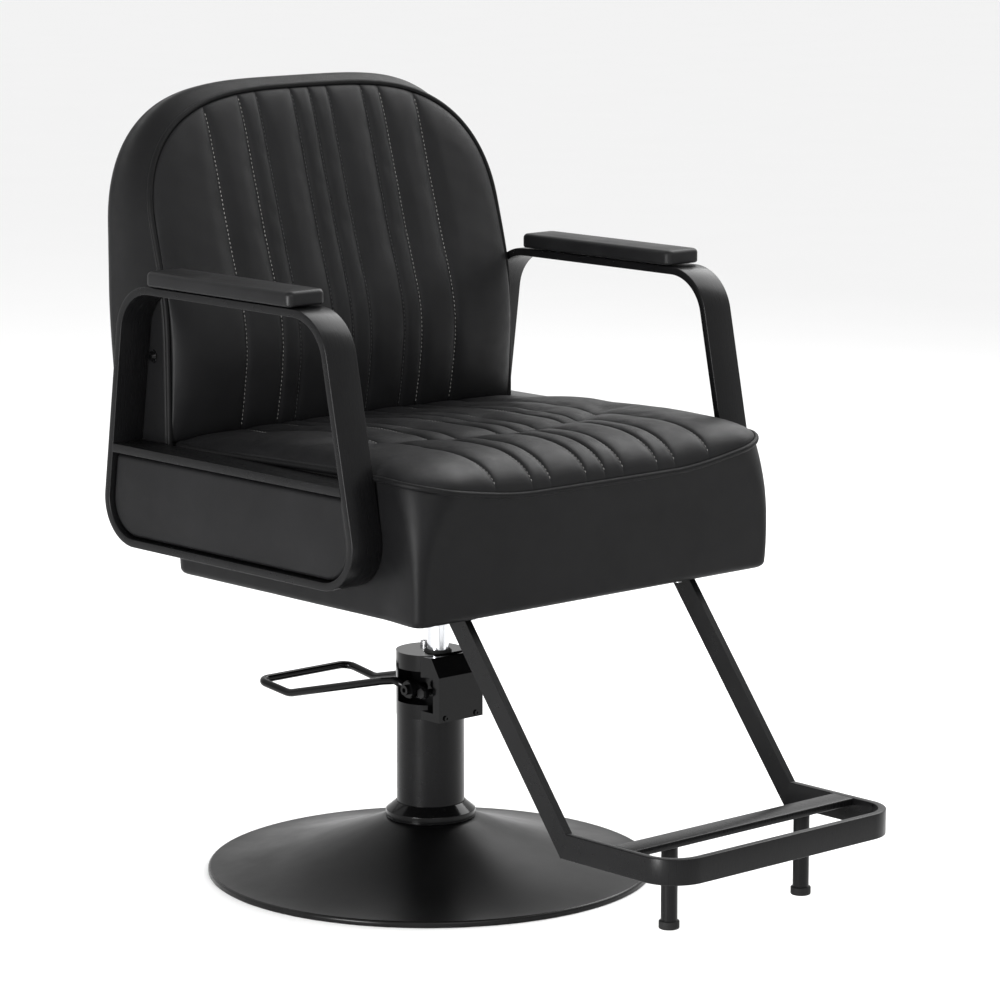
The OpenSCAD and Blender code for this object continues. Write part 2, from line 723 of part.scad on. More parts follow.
module arm_rail() {
  side_profile([[loop_y(-1, rail_z0), rail_z0], [loop_y(1, rail_z0), rail_z0],
    [loop_y(1, rail_z1), rail_z1], [loop_y(-1, rail_z1), rail_z1]], arm_x, arm_x + strip_w);
}

// outline of the window below the rail, inset by t
function window(t) =
  let (c = arm_inner(strip_t), top = rail_z0)
  rounded(inset([c[0], [loop_y(1, top), top], [loop_y(-1, top), top], c[3]], t),
    [arm_outer_r[0] - strip_t - t, 1, 1, arm_outer_r[3] - strip_t - t], 10);

module arm_plate() {
  difference() {
    side_profile(window(0.1), arm_x, arm_x + 4);
    for (y = [-130, 60]) rod_x(arm_x - 5, arm_x + 10, y, 500, 4);
  }
}

module side_panel() {
  side_profile(window(2.5), arm_x + 9, arm_x + strip_w - 4);
}

// plan outline of an arm pad, inset by t
function pad_plan(t) = rounded(inset(box_pts(-pad_w / 2, -pad_len / 2, pad_w / 2, pad_len / 2), t),
  [10, 10, 10, 10], 6);

module arm_pad() {
  translate([arm_x + strip_w / 2, 0, arm_top + 2]) difference() {
    hull() {
      linear_extrude(1) polygon(pad_plan(3));
      translate([0, 0, 3]) linear_extrude(pad_h - 8) polygon(pad_plan(0));
      translate([0, 0, pad_h - 1]) linear_extrude(1) polygon(pad_plan(5));
    }
    for (y = [-95, 95]) translate([0, y, -1]) cylinder(r = 3, h = 12);
  }
}

module arm_frame_right() { color("#161618") mirror([1, 0, 0]) arm_frame(); }
module arm_frame_left() { color("#161618") arm_frame(); }
module arm_rail_right() { color("#161618") mirror([1, 0, 0]) arm_rail(); }
module arm_rail_left() { color("#161618") arm_rail(); }
module arm_plate_right() { color("#2c2c2e") mirror([1, 0, 0]) arm_plate(); }
module arm_plate_left() { color("#2c2c2e") arm_plate(); }
module side_panel_right() { color("#1d1d1f") mirror([1, 0, 0]) side_panel(); }
module side_panel_left() { color("#1d1d1f") side_panel(); }
module arm_pad_right() { color("#18181a") mirror([1, 0, 0]) arm_pad(); }
module arm_pad_left() { color("#18181a") arm_pad(); }

module pad_screws() {
  color("#6f7175") both() for (y = [-95, 95]) translate([arm_x + strip_w / 2, y, arm_top]) {
    translate([0, 0, -strip_t - 2.6]) cylinder(r = 5.2, h = 2.6);
    translate([0, 0, -strip_t - eps]) cylinder(r = 3, h = strip_t + 12);
    difference() {
      translate([0, 0, 0]) cylinder(r = 8, h = 2);
      translate([0, 0, -1]) cylinder(r = 2.9, h = 4);
    }
  }
}

module arm_bolts() {
  color("#8d8f94") both() for (y = [-130, 60]) {
    rod_x(arm_x + 4, arm_x + 8, y, 500, 7.5);
    rod_x(262, arm_x + 4 + eps, y, 500, 4);
    rod_x(arm_x - 3, arm_x, y, 500, 10);
    rod_x(262, 268, y, 500, 7.5);
  }
}

// the strut's lower rear edge at height z, and its width across in y
function strut_y(z) = -370 + 0.785 * (z - 250);
strut_w = 34.9;
strut_top = seat_z - 4;

module footrest_strut() {
  side_profile([[strut_y(strut_top), strut_top], [strut_y(strut_top) - strut_w, strut_top],
    [strut_y(foot_top) - strut_w + 1.2, foot_top], [strut_y(foot_z) + 0.2, foot_z]],
    foot_half_w - foot_t, foot_half_w);
}

module footrest_strut_right() { color("#161618") mirror([1, 0, 0]) footrest_strut(); }
module footrest_strut_left() { color("#161618") footrest_strut(); }

module footrest_loop() {
  y_rear = strut_y(foot_z);
  outer = box_pts(-foot_half_w, -foot_front, foot_half_w, y_rear + 60);
  color("#161618") difference() {
    translate([0, 0, foot_z]) linear_extrude(foot_top - foot_z)
      polygon(rounded(outer, [48, 48, 1, 1], 12));
    translate([0, 0, foot_z - 1]) linear_extrude(foot_top - foot_z + 2)
      polygon(rounded([[-foot_half_w + foot_t, -foot_front + foot_t],
        [foot_half_w - foot_t, -foot_front + foot_t], [foot_half_w - foot_t, 0], [-foot_half_w + foot_t, 0]],
        [38, 38, 1, 1], 12));
    // the mitre where each strut is welded on
    side_profile([[strut_y(foot_z) + 0.2, foot_z], [strut_y(foot_z) + 2, foot_z - 9], [200, foot_z - 9],
      [200, foot_top + 9], [strut_y(foot_top) - strut_w - 1, foot_top + 9],
      [strut_y(foot_top) - strut_w + 1.2, foot_top]], -300, 300);
  }
}

module footrest_tread() {
  color("#1a1a1c") difference() {
    translate([0, 0, foot_top - 9]) linear_extrude(9)
      polygon(box_pts(-foot_half_w + foot_t, -575, foot_half_w - foot_t, -541));
    for (x = [-112.5, 112.5]) translate([x, -558, foot_top - 12]) cylinder(r = 4, h = 9);
  }
}

module footrest_legs() {
  color("#161618") for (x = [-112.5, 112.5]) translate([x, -558, 0]) {
    translate([0, 0, 68]) cylinder(r = 10, h = foot_top - 9 - 68);
    translate([0, 0, foot_top - 9 - eps]) cylinder(r = 4, h = 6);
  }
}

module footrest_feet() {
  color("#0a0a0a") for (x = [-112.5, 112.5]) translate([x, -558, 0]) rotate_extrude()
    polygon([[0, 58], [11.5, 58], [12.5, 59], [12.5, 66.5], [11, 68], [0, 68]]);
}

module footrest_tabs() {
  color("#2c2c2e") both() difference() {
    translate([150, -285, strut_top]) cube([foot_half_w - 150, 46, seat_z - strut_top - 0.1]);
    for (y = [-1, 1]) translate([175, -262 + 14 * y, strut_top - 1]) cylinder(r = 4, h = 8);
  }
}

module footrest_bolts() {
  color("#8d8f94") both() for (y = [-1, 1]) translate([175, -262 + 14 * y, strut_top]) {
    translate([0, 0, -5]) cylinder(r = 6.2, h = 5, $fn = 6);
    translate([0, 0, -eps]) cylinder(r = 4, h = 24);
  }
}

base_dish();
base_ring();
ballast_plate();
base_bolts();
pump_foot();
column_collar();
column_tube();
main_cylinder();
pump_head();
pump_cover();
cover_screws();
rod_bush();
rod_wiper();
filler_screw();
plunger_barrel();
plunger_spring();
trunnion_bolts();
piston_rod();
rod_piston();
thrust_washer();
pedal_bar();
pedal_hubs();
lever_pin();
plunger();
mount_hub();
mount_plate();
mount_bolts();
seat_board();
seat_box();
seat_foam();
seat_cushion();
seat_piping();
back_foam();
back_board();
back_cover();
back_cushion();
back_piping();
back_straps();
strap_bolts();
back_side_bolts();
arm_frame_right();
arm_frame_left();
arm_rail_right();
arm_rail_left();
arm_plate_right();
arm_plate_left();
side_panel_right();
side_panel_left();
arm_pad_right();
arm_pad_left();
pad_screws();
arm_bolts();
footrest_strut_right();
footrest_strut_left();
footrest_loop();
footrest_tread();
footrest_legs();
footrest_feet();
footrest_tabs();
footrest_bolts();
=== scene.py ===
# %% [markdown]
# # A salon styling chair, worked out as surfaces
# This lesson dresses a finished steel-and-plywood frame as a real chair: leather upholstery with sewn
# channels, piping, bent flat-strip arms, a painted dish base and a foot pump. The frame arrives with its
# sizes fixed. Each cell makes one piece or one finish as a formula on a numpy grid, and says why.

# %% Load the frame
import json
import math

import bmesh
import bpy
import numpy as np
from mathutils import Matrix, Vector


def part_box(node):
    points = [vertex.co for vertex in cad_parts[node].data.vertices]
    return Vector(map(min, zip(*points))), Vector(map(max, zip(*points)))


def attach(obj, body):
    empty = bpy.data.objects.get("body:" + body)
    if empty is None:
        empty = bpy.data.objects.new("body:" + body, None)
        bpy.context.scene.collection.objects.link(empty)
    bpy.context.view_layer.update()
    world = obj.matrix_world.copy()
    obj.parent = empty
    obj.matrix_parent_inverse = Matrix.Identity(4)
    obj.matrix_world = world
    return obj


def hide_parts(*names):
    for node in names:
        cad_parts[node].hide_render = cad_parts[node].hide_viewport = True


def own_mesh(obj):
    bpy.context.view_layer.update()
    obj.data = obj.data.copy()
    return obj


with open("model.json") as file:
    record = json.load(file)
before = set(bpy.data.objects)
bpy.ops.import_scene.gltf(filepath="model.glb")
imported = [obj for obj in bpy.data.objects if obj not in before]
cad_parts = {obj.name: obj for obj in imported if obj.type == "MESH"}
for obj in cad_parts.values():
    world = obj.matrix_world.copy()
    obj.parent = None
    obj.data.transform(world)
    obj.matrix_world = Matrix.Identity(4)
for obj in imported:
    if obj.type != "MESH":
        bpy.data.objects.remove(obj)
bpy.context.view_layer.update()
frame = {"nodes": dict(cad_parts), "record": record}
nodes = frame["nodes"]

# %% [markdown]
# ## A grid becomes a mesh
# Nearly every piece here is a function of two parameters, sampled as a numpy array of points. One helper
# turns such an array into quads. Where the surface closes on itself, a row is joined to the first one;
# where it ends, a fan of triangles around one middle point closes it like a drum skin.

# %% Grids, fans and outward faces
def quad_grid(nu, nv, wrap_u, wrap_v, start=0):
    """Corner numbers of an nu by nv grid's quads; a wrapped direction joins its last row to its first."""
    i = np.arange(nu if wrap_u else nu - 1)
    j = np.arange(nv if wrap_v else nv - 1)
    i, j = np.meshgrid(i, j, indexing="ij")
    i2, j2 = (i + 1) % nu, (j + 1) % nv
    quads = np.stack([i * nv + j, i2 * nv + j, i2 * nv + j2, i * nv + j2], -1)
    return quads.reshape(-1, 4) + start


def fan(ring, centre):
    """Triangles from a closed ring of corner numbers to one centre corner."""
    return np.stack([ring, np.roll(ring, -1), np.full(len(ring), centre)], -1)


def build(name, points, quads, tris=None, smooth=True):
    """One closed mesh from points, quads and triangles, welded, with its faces turned outwards."""
    mesh = bpy.data.meshes.new(name)
    faces = [tuple(q) for q in quads.tolist()]
    if tris is not None:
        faces += [tuple(t) for t in tris.tolist()]
    mesh.from_pydata(points.tolist(), [], faces)
    bm = bmesh.new()
    bm.from_mesh(mesh)
    bmesh.ops.remove_doubles(bm, verts=bm.verts, dist=1e-6)
    bmesh.ops.dissolve_degenerate(bm, edges=bm.edges, dist=1e-7)
    bmesh.ops.recalc_face_normals(bm, faces=bm.faces)
    bm.to_mesh(mesh)
    bm.free()
    mesh.polygons.foreach_set("use_smooth", [smooth] * len(mesh.polygons))
    piece = bpy.data.objects.new(name, mesh)
    bpy.context.scene.collection.objects.link(piece)
    return piece


def closed_tube(name, rings, cap=True):
    """A skin over rings of points, rings[i, j]: the rings close around, and the two ends get fans."""
    n, m = rings.shape[:2]
    pts = rings.reshape(-1, 3)
    tris = None
    if cap:
        pts = np.vstack([pts, rings[0].mean(0), rings[-1].mean(0)])
        tris = np.vstack([fan(np.arange(m), n * m), fan(np.arange((n - 1) * m, n * m), n * m + 1)])
    return build(name, pts, quad_grid(n, m, not cap, True), tris)


def crisp(piece, angle=35):
    """Keeps edges sharper than the angle sharp, so that flats stay flat beside rounded edges."""
    piece.data.set_sharp_from_angle(angle=math.radians(angle))
    return piece


def settle(piece, body, slot, material, *replaced):
    """Gives a piece its finish and its body, and hides the frame nodes it stands for; the slot argument is
    not used.
    """
    piece.data.materials.clear()
    piece.data.materials.append(material)
    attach(piece, body)
    if replaced:
        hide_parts(*replaced)
    return piece


def ramp(a, b, x):
    """A smooth step: 0 below a, 1 above b, with no corner at either end."""
    t = np.clip((np.asarray(x, float) - a) / (b - a), 0, 1)
    return t * t * (3 - 2 * t)


# %% [markdown]
# ## Bent bars and tubes
# The arms, the footrest and the pedal are all stock bent round a former: straight runs joined by arcs.
# Blender's curve bevel could do it, but here the path and its frame are arrays, so a flat strip keeps
# its width level all the way round. A bar's section is a rectangle with small rounded edges, because a
# dead-sharp edge never catches a highlight.

# %% Paths with rounded corners, and sections carried along them
def unit(v):
    """Vectors scaled to length one."""
    return v / np.linalg.norm(v, axis=-1, keepdims=True)


def bent(corners, radii, closed=False, steps=14):
    """A path through corners where each corner becomes an arc tangent to both straights."""
    c = [np.array(p, float) for p in corners]
    n, out = len(c), []
    for k in range(n):
        if not closed and k in (0, n - 1):
            out.append(c[k][None])
            continue
        d1, d2 = unit(c[k - 1] - c[k]), unit(c[(k + 1) % n] - c[k])
        half = math.acos(float(np.clip(d1 @ d2, -1, 1))) / 2
        reach, centre = radii[k] / math.tan(half), c[k] + unit(d1 + d2) * radii[k] / math.sin(half)
        a, b = c[k] + d1 * reach - centre, c[k] + d2 * reach - centre
        turn = math.pi - 2 * half
        t = np.linspace(0, 1, steps)[:, None]
        out.append(centre + (np.sin((1 - t) * turn) * a + np.sin(t * turn) * b) / math.sin(turn))
    return np.vstack(out)


def bar_section(wide, thick, edge, steps=4):
    """A wide by thick rectangle centred on 0, 0 whose corners are arcs of radius edge."""
    a = np.linspace(0, np.pi / 2, steps)
    q = [(1, 1), (-1, 1), (-1, -1), (1, -1)]
    return np.vstack([np.stack([sx * (wide / 2 - edge) + edge * np.cos(a + k * np.pi / 2),
                                sy * (thick / 2 - edge) + edge * np.sin(a + k * np.pi / 2)], -1)
                      for k, (sx, sy) in enumerate(q)])


def round_section(radius, sides=20):
    """A circle of points."""
    a = np.linspace(0, 2 * np.pi, sides, endpoint=False)
    return radius * np.stack([np.cos(a), np.sin(a)], -1)


def carry(path, section, across, closed=False):
    """Section points carried along a path: the first section axis follows `across`, the second is across
    x tangent, and at a kink the section lies in the mitre plane, so the bar keeps its thickness."""
    prev = np.roll(path, 1, 0) if closed else np.vstack([2 * path[0] - path[1], path[:-1]])
    after = np.roll(path, -1, 0) if closed else np.vstack([path[1:], 2 * path[-1] - path[-2]])
    t1, t2 = unit(path - prev), unit(after - path)
    tangent = unit(t1 + t2)
    stretch = 1 / np.sqrt(np.clip((1 + (t1 * t2).sum(-1)) / 2, 0.2, 1))
    a = np.broadcast_to(np.array(across, float), path.shape)
    a = unit(a - (a * tangent).sum(-1, keepdims=True) * tangent)
    b = np.cross(a, tangent) * stretch[:, None]
    return (path[:, None] + section[None, :, :1] * a[:, None] + section[None, :, 1:] * b[:, None])


def turned(name, profile, centre=(0, 0), sides=96):
    """A closed solid of revolution about the vertical through centre, from (radius, height) points; a
    profile that starts and ends on the axis closes there."""
    p = np.array(profile, float)
    a = np.linspace(0, 2 * np.pi, sides, endpoint=False)
    rings = np.stack([centre[0] + p[:, None, 0] * np.cos(a), centre[1] + p[:, None, 0] * np.sin(a),
                      np.broadcast_to(p[:, None, 1], (len(p), sides))], -1)
    open_ring = p[0, 0] > 1e-6
    return build(name, rings.reshape(-1, 3), quad_grid(len(p), sides, open_ring, True))


def arc2(cx, cy, r, a0, a1, n=6):
    """Points of an arc in two dimensions, angles in degrees."""
    a = np.radians(np.linspace(a0, a1, n))
    return [(cx + r * math.cos(t), cy + r * math.sin(t)) for t in a]


# %% [markdown]
# ## Finishes
# Every finish is a small node tree. They read Object coordinates, so a grain has one real size on all
# pieces. The leather is a synthetic one: a fine pebble from a Voronoi pattern, a softer noise that
# changes its gloss where hands polish it, and a slight change of colour. Single values that never vary
# are set on the shader itself.

# %% A short hand for node trees
class Finish:
    """A material under construction: makes nodes, links them, and ends in one Principled shader."""

    def __init__(self, name, **shader):
        self.material = bpy.data.materials.new(name)
        self.material.use_nodes = True
        self.tree = self.material.node_tree
        self.shader = self.tree.nodes["Principled BSDF"]
        for socket, value in shader.items():
            self.shader.inputs[socket.replace("_", " ")].default_value = value
        self.place = self.tree.nodes.new("ShaderNodeTexCoord").outputs["Object"]

    def add(self, kind, out, values=None, **links):
        """A node of the kind, its inputs set or linked by name, giving the output asked for."""
        node = self.tree.nodes.new("ShaderNode" + kind)
        for key, value in (values or {}).items():
            if hasattr(node, key):
                setattr(node, key, value)
            else:
                node.inputs[key].default_value = value
        for key, source in links.items():
            self.tree.links.new(source, node.inputs[key.replace("_", " ")])
        return node.outputs[out]

    def stretch(self, scale):
        """The place, scaled differently along each axis."""
        return self.add("Mapping", "Vector", {"Scale": scale}, Vector=self.place)

    def noise(self, scale, detail=3, rough=0.5, at=None):
        """Fractal noise of a given number of bumps per metre."""
        return self.add("TexNoise", "Fac", {"Scale": scale, "Detail": detail, "Roughness": rough},
                        Vector=at or self.place)

    def remap(self, source, low, high, out_low, out_high):
        """Stretches a value range to another one, clamped."""
        return self.add("MapRange", "Result", {"From Min": low, "From Max": high, "To Min": out_low,
                                               "To Max": out_high}, Value=source)

    def colour(self, source, dark, light):
        """A colour between dark and light, chosen by source."""
        node = self.tree.nodes.new("ShaderNodeValToRGB")
        node.color_ramp.elements[0].color = (*dark, 1)
        node.color_ramp.elements[1].color = (*light, 1)
        node.color_ramp.elements[0].position, node.color_ramp.elements[1].position = 0.3, 0.7
        self.tree.links.new(source, node.inputs["Fac"])
        return node.outputs["Color"]

    def bump(self, height, depth, strength=1.0, below=None):
        """A bump of real depth in metres, on top of another bump if one is given."""
        node = self.tree.nodes.new("ShaderNodeBump")
        node.inputs["Strength"].default_value = strength
        node.inputs["Distance"].default_value = depth
        self.tree.links.new(height, node.inputs["Height"])
        if below is not None:
            self.tree.links.new(below, node.inputs["Normal"])
        return node.outputs["Normal"]

    def end(self, **links):
        """Links results into the shader and returns the material."""
        for socket, source in links.items():
            self.tree.links.new(source, self.shader.inputs[socket.replace("_", " ")])
        return self.material


# %% Leather, thread and piping
def leather_finish(name, dark, light, rough_low, rough_high, level=0.13, grain=2300, depth=0.00016):
    """Synthetic leather: pebble grain, gloss that wanders over centimetres, and a faint tint change."""
    f = Finish(name, Specular_IOR_Level=level)
    pebble = f.add("TexVoronoi", "Distance", {"Scale": grain, "Randomness": 1.0}, Vector=f.place)
    fine = f.noise(grain * 2.2, 2, 0.6)
    broad = f.noise(9, 4, 0.6)
    patches = f.noise(55, 3, 0.55)
    gloss = f.remap(patches, 0.3, 0.7, rough_low, rough_high)
    first = f.bump(pebble, depth, 0.55)
    second = f.bump(fine, depth * 0.4, 0.5, first)
    third = f.bump(patches, 0.0006, 0.12, second)
    return f.end(Base_Color=f.colour(broad, dark, light), Roughness=gloss, Normal=third)


leather = leather_finish("black_leather", (0.0036, 0.0036, 0.0039), (0.0056, 0.0056, 0.0060),
                         0.41, 0.51)
# A darker copy of the cushions' leather for the seat boxing and the backrest shell: its darker colour is
# painted shade on these sideways faces.
band_leather_painted_shade = leather_finish("band_leather_painted_shade", (0.0029, 0.0029, 0.0031), (0.0044, 0.0044, 0.0047),
                              0.39, 0.48, 0.10)
# The piping's copy of the leather is rougher and less glossy, and its darker colour is painted shade on the
# cord.
piping_leather_painted_shade = leather_finish("piping_leather_painted_shade", (0.0028, 0.0028, 0.0030), (0.0042, 0.0042, 0.0044),
                                0.46, 0.54, 0.09)
# A lighter copy of the cushions' leather for the side panels: its lighter colour is painted light on their
# sideways faces.
panel_leather_painted_light = leather_finish("panel_leather_painted_light", (0.0044, 0.0044, 0.0047), (0.0066, 0.0066, 0.0070),
                               0.40, 0.50, 0.10)


def thread_finish(name, dark, light):
    """Twisted polyester thread: a fine diagonal ply in colour and bump."""
    f = Finish(name, Roughness=0.6, Sheen_Weight=0.3, Specular_IOR_Level=0.3)
    ply = f.add("TexWave", "Fac", {"Scale": 900.0, "Distortion": 1.5, "bands_direction": "DIAGONAL"},
                Vector=f.place)
    return f.end(Base_Color=f.colour(ply, dark, light), Normal=f.bump(ply, 0.0001, 0.4))


thread_pale = thread_finish("thread_pale", (0.16, 0.155, 0.15), (0.34, 0.33, 0.32))
thread_dark = thread_finish("thread_dark", (0.03, 0.03, 0.031), (0.07, 0.07, 0.072))
thread_grey = thread_finish("thread_grey", (0.10, 0.098, 0.095), (0.22, 0.215, 0.21))


# %% Painted, plated and moulded finishes
def powder_finish(name, tint, rough, peel=0.00003, streak=0.0, gloss_level=0.30):
    """Powder coat: orange peel a millimetre or two across, and fine streaks along bent steel if asked."""
    f = Finish(name, Specular_IOR_Level=gloss_level)
    orange = f.noise(700, 2, 0.5)
    broad = f.noise(14, 3, 0.6)
    normal = f.bump(orange, peel, 0.5)
    gloss = f.remap(broad, 0.3, 0.7, rough - 0.04, rough + 0.05)
    if streak:
        lines = f.noise(1.0, 4, 0.7, f.stretch((1500, 22, 22)))
        normal = f.bump(lines, streak, 0.5, normal)
        gloss = f.remap(lines, 0.3, 0.7, rough - 0.07, rough + 0.10)
    light = tuple(c * 1.35 for c in tint)
    return f.end(Base_Color=f.colour(broad, tint, light), Roughness=gloss, Normal=normal)


frame_black = powder_finish("frame_powder_coat", (0.0030, 0.0030, 0.0032), 0.29, streak=0.00002,
                            gloss_level=0.135)
dish_black = powder_finish("dish_powder_coat", (0.0010, 0.0010, 0.0011), 0.33, peel=0.00005,
                           gloss_level=0.10)
column_black = powder_finish("column_paint", (0.0026, 0.0026, 0.0028), 0.26, gloss_level=0.125)
bracket_black = powder_finish("bracket_paint", (0.0035, 0.0035, 0.0036), 0.42, gloss_level=0.20)
gloss_black = powder_finish("gloss_enamel", (0.0016, 0.0016, 0.0017), 0.14, peel=0.00002,
                            gloss_level=0.14)


def metal_finish(name, tint, rough, brush=(40, 40, 1500), depth=0.00001):
    """Bare metal with machining marks that change its gloss."""
    f = Finish(name, Metallic=1.0)
    marks = f.noise(1.0, 4, 0.7, f.stretch(brush))
    light = tuple(min(1.0, c * 1.15) for c in tint)
    return f.end(Base_Color=f.colour(marks, tint, light), Roughness=f.remap(marks, 0.3, 0.7, rough * 0.7,
                 rough * 1.4), Normal=f.bump(marks, depth, 0.3))


chrome = metal_finish("chrome_rod", (0.56, 0.57, 0.59), 0.10)
zinc = metal_finish("zinc_screws", (0.42, 0.42, 0.43), 0.30, (300, 300, 300))
steel = metal_finish("machined_steel", (0.48, 0.48, 0.49), 0.28)
bronze = metal_finish("bronze_bush", (0.55, 0.38, 0.18), 0.3)


def moulded_finish(name, tint, rough, grain, depth):
    """Moulded rubber or urethane: a fine even texture from the mould and dull patches."""
    f = Finish(name, Specular_IOR_Level=0.14)
    skin = f.noise(grain, 3, 0.6)
    broad = f.noise(20, 3, 0.6)
    light = tuple(c * 1.4 for c in tint)
    return f.end(Base_Color=f.colour(broad, tint, light), Roughness=f.remap(broad, 0.3, 0.7, rough - 0.05,
                 rough + 0.06), Normal=f.bump(skin, depth, 0.4))


urethane = moulded_finish("arm_pad_urethane", (0.0050, 0.0050, 0.0053), 0.42, 1600, 0.00008)
rubber = moulded_finish("black_rubber", (0.008, 0.008, 0.008), 0.62, 1200, 0.00006)
ring_black = moulded_finish("floor_ring", (0.004, 0.004, 0.004), 0.25, 900, 0.00002)
cast_iron = moulded_finish("cast_iron", (0.05, 0.05, 0.05), 0.75, 500, 0.0002)
foam = moulded_finish("foam", (0.5, 0.46, 0.34), 0.9, 900, 0.0003)


def ply_finish():
    """Plywood: long grain lines across X."""
    f = Finish("plywood")
    lines = f.noise(1.0, 4, 0.6, f.stretch((12, 260, 260)))
    return f.end(Base_Color=f.colour(lines, (0.36, 0.24, 0.13), (0.52, 0.37, 0.22)),
                 Roughness=f.remap(lines, 0.3, 0.7, 0.6, 0.75), Normal=f.bump(lines, 0.0002, 0.3))


plywood = ply_finish()
print("finishes:", len(bpy.data.materials))

# %% [markdown]
# ## The frame's own nodes
# Bolts, bushes, the pump's insides and the boards already have their true shape, so they only get a
# finish. The record says which slot each belongs to, and one table turns slots into finishes.

# %% Finishes for the frame's nodes
slot_finish = {
    "dish_paint": dish_black, "rubber": rubber, "cast_iron": cast_iron, "zinc_steel": zinc,
    "gloss_black": gloss_black, "column_paint": column_black, "pedal_paint": gloss_black,
    "chrome": chrome, "bare_steel": steel, "bronze": bronze, "frame_paint": frame_black,
    "plate_paint": bracket_black, "plywood": plywood, "foam": foam, "upholstery": leather,
    "padding": leather, "piping": piping_leather_painted_shade, "arm_pad": urethane}
for part in frame["record"]["subparts"]:
    mesh = nodes[part["node"]].data
    mesh.materials.clear()
    mesh.materials.append(slot_finish[part["material_slot"]])
nodes["back_side_bolts"].data.materials[0] = gloss_black  # polished heads beside the dull brackets
print("dressed", len(nodes), "frame nodes")

# %% [markdown]
# ## The sewn panels
# Seat and backrest carry the same pattern: nine rows of stitching that make narrow and wide channels in
# turn, mirrored about the middle. Under each row the leather is pulled down to the backing, and between
# rows the foam pushes it up into a low roll. Sculpting would do it by hand; a formula keeps the nine
# rows true and lets both cushions share them.

# %% The channel pattern
row_places = np.array([-0.180, -0.120, -0.090, -0.031, 0.0, 0.031, 0.090, 0.120, 0.180])
roll_height = 0.0034
groove_depth = 0.0026
groove_width = 0.0026


def channels(x, rows, soft):
    """Height of the quilting at x: between two rows 1 - |2t - 1|^3, higher where the rows are further
    apart, and at each row a narrow groove. soft scales it, 0 at an edge and 1 well inside."""
    lift = np.zeros_like(x)
    for a, b in zip(rows[:-1], rows[1:]):
        t = np.clip((x - a) / (b - a), 0, 1)
        lift += (1 - np.abs(2 * t - 1) ** 3.0) * roll_height * (0.55 + (b - a) / 0.12)
    side = np.clip((np.abs(x) - rows[-1]) / 0.030, 0, 1)
    lift += roll_height * (1 - (1 - side) ** 3) * (np.abs(x) > rows[-1])
    for r in rows:
        lift -= groove_depth * np.exp(-np.abs((x - r) / groove_width) ** 1.3)
    return lift * soft


def ripples(a, b, size):
    """Slow uneven waves of the given size, from a few sines that don't repeat together."""
    return size * (np.sin(37 * a + 11 * b + 1.3) * np.sin(23 * b - 9 * a + 0.7)
                   + 0.6 * np.sin(71 * a - 29 * b + 2.1) * np.sin(53 * b + 17 * a)
                   + 0.3 * np.sin(131 * a + 61 * b) * np.sin(97 * b - 43 * a + 0.4))


def dome(t, power=2.2):
    """Rises from 0 at the seam to 1 inside, steep at first: the quarter of a rounded square."""
    t = np.clip(t, 0, 1)
    return (1 - (1 - t) ** power) ** (1 / power)


def crowd(n, amount):
    """n steps from 0 to 1, closer together at both ends."""
    t = np.linspace(0, 1, n)
    return t - amount * np.sin(2 * np.pi * t) / (2 * np.pi)


def panel_columns(half, rows):
    """Column places across a panel: each row of stitching is a column, and columns crowd towards it."""
    ends = np.concatenate([[-half], rows, [half]])
    counts = np.round(16 + 220 * np.diff(ends)).astype(int)
    return np.concatenate([a + (b - a) * crowd(n + 1, 0.6)[:-1]
                           for a, b, n in zip(ends[:-1], ends[1:], counts)] + [ends[-1:]])


def panel_grid(columns, low, high, ny=151):
    """A grid of columns, each filled from low(x) to high(x)."""
    x = np.repeat(columns[:, None], ny, 1)
    lo, hi = low(x), high(x)
    return x, lo + (hi - lo) * crowd(ny, 0.6)[None, :], lo, hi


def rim_of(nx, ny):
    """Corner numbers around the edge of an nx by ny grid."""
    top = np.arange(nx) * ny
    return np.concatenate([top, (nx - 1) * ny + np.arange(1, ny), top[::-1][1:] + ny - 1,
                           np.arange(ny - 2, 0, -1)])


def pad_from_top(name, top, back_step, centre):
    """Closes a sewn panel: its edge turns under by back_step, and a fan around centre closes the back."""
    nx, ny = top.shape[:2]
    pts = top.reshape(-1, 3)
    rim = rim_of(nx, ny)
    under = pts[rim] + np.array(back_step)
    k, m = len(pts), len(rim)
    everything = np.vstack([pts, under, np.array(centre)[None]])
    skirt = np.stack([rim, np.roll(rim, -1), np.roll(k + np.arange(m), -1), k + np.arange(m)], -1)
    return build(name, everything, np.vstack([quad_grid(nx, ny, False, False), skirt]),
                 fan(k + np.arange(m), k + m))


# %% [markdown]
# ## Leather as cloth
# The formula gives the panel's cut and its padding. How the leather lies between the rows is left to a
# cloth simulation: the panel is a sheet held along its seams and rows, a little larger than the place it
# fills, with the foam pressing from below. Where it has slack it folds by itself, which no formula does
# as well. The result is a small displacement, capped, that is added to the panel.

# %% A panel simulated as a held sheet
def held_points(columns, rows, ny):
    """1 for the panel's points on a row of stitching or within two of its edge, 0 for the others."""
    on_row = np.abs(columns[:, None] - rows[None, :]).min(1) < 0.0012
    held = np.repeat(on_row[:, None], ny, 1).astype(float)
    held[:2] = held[-2:] = held[:, :2] = held[:, -2:] = 1.0
    return held


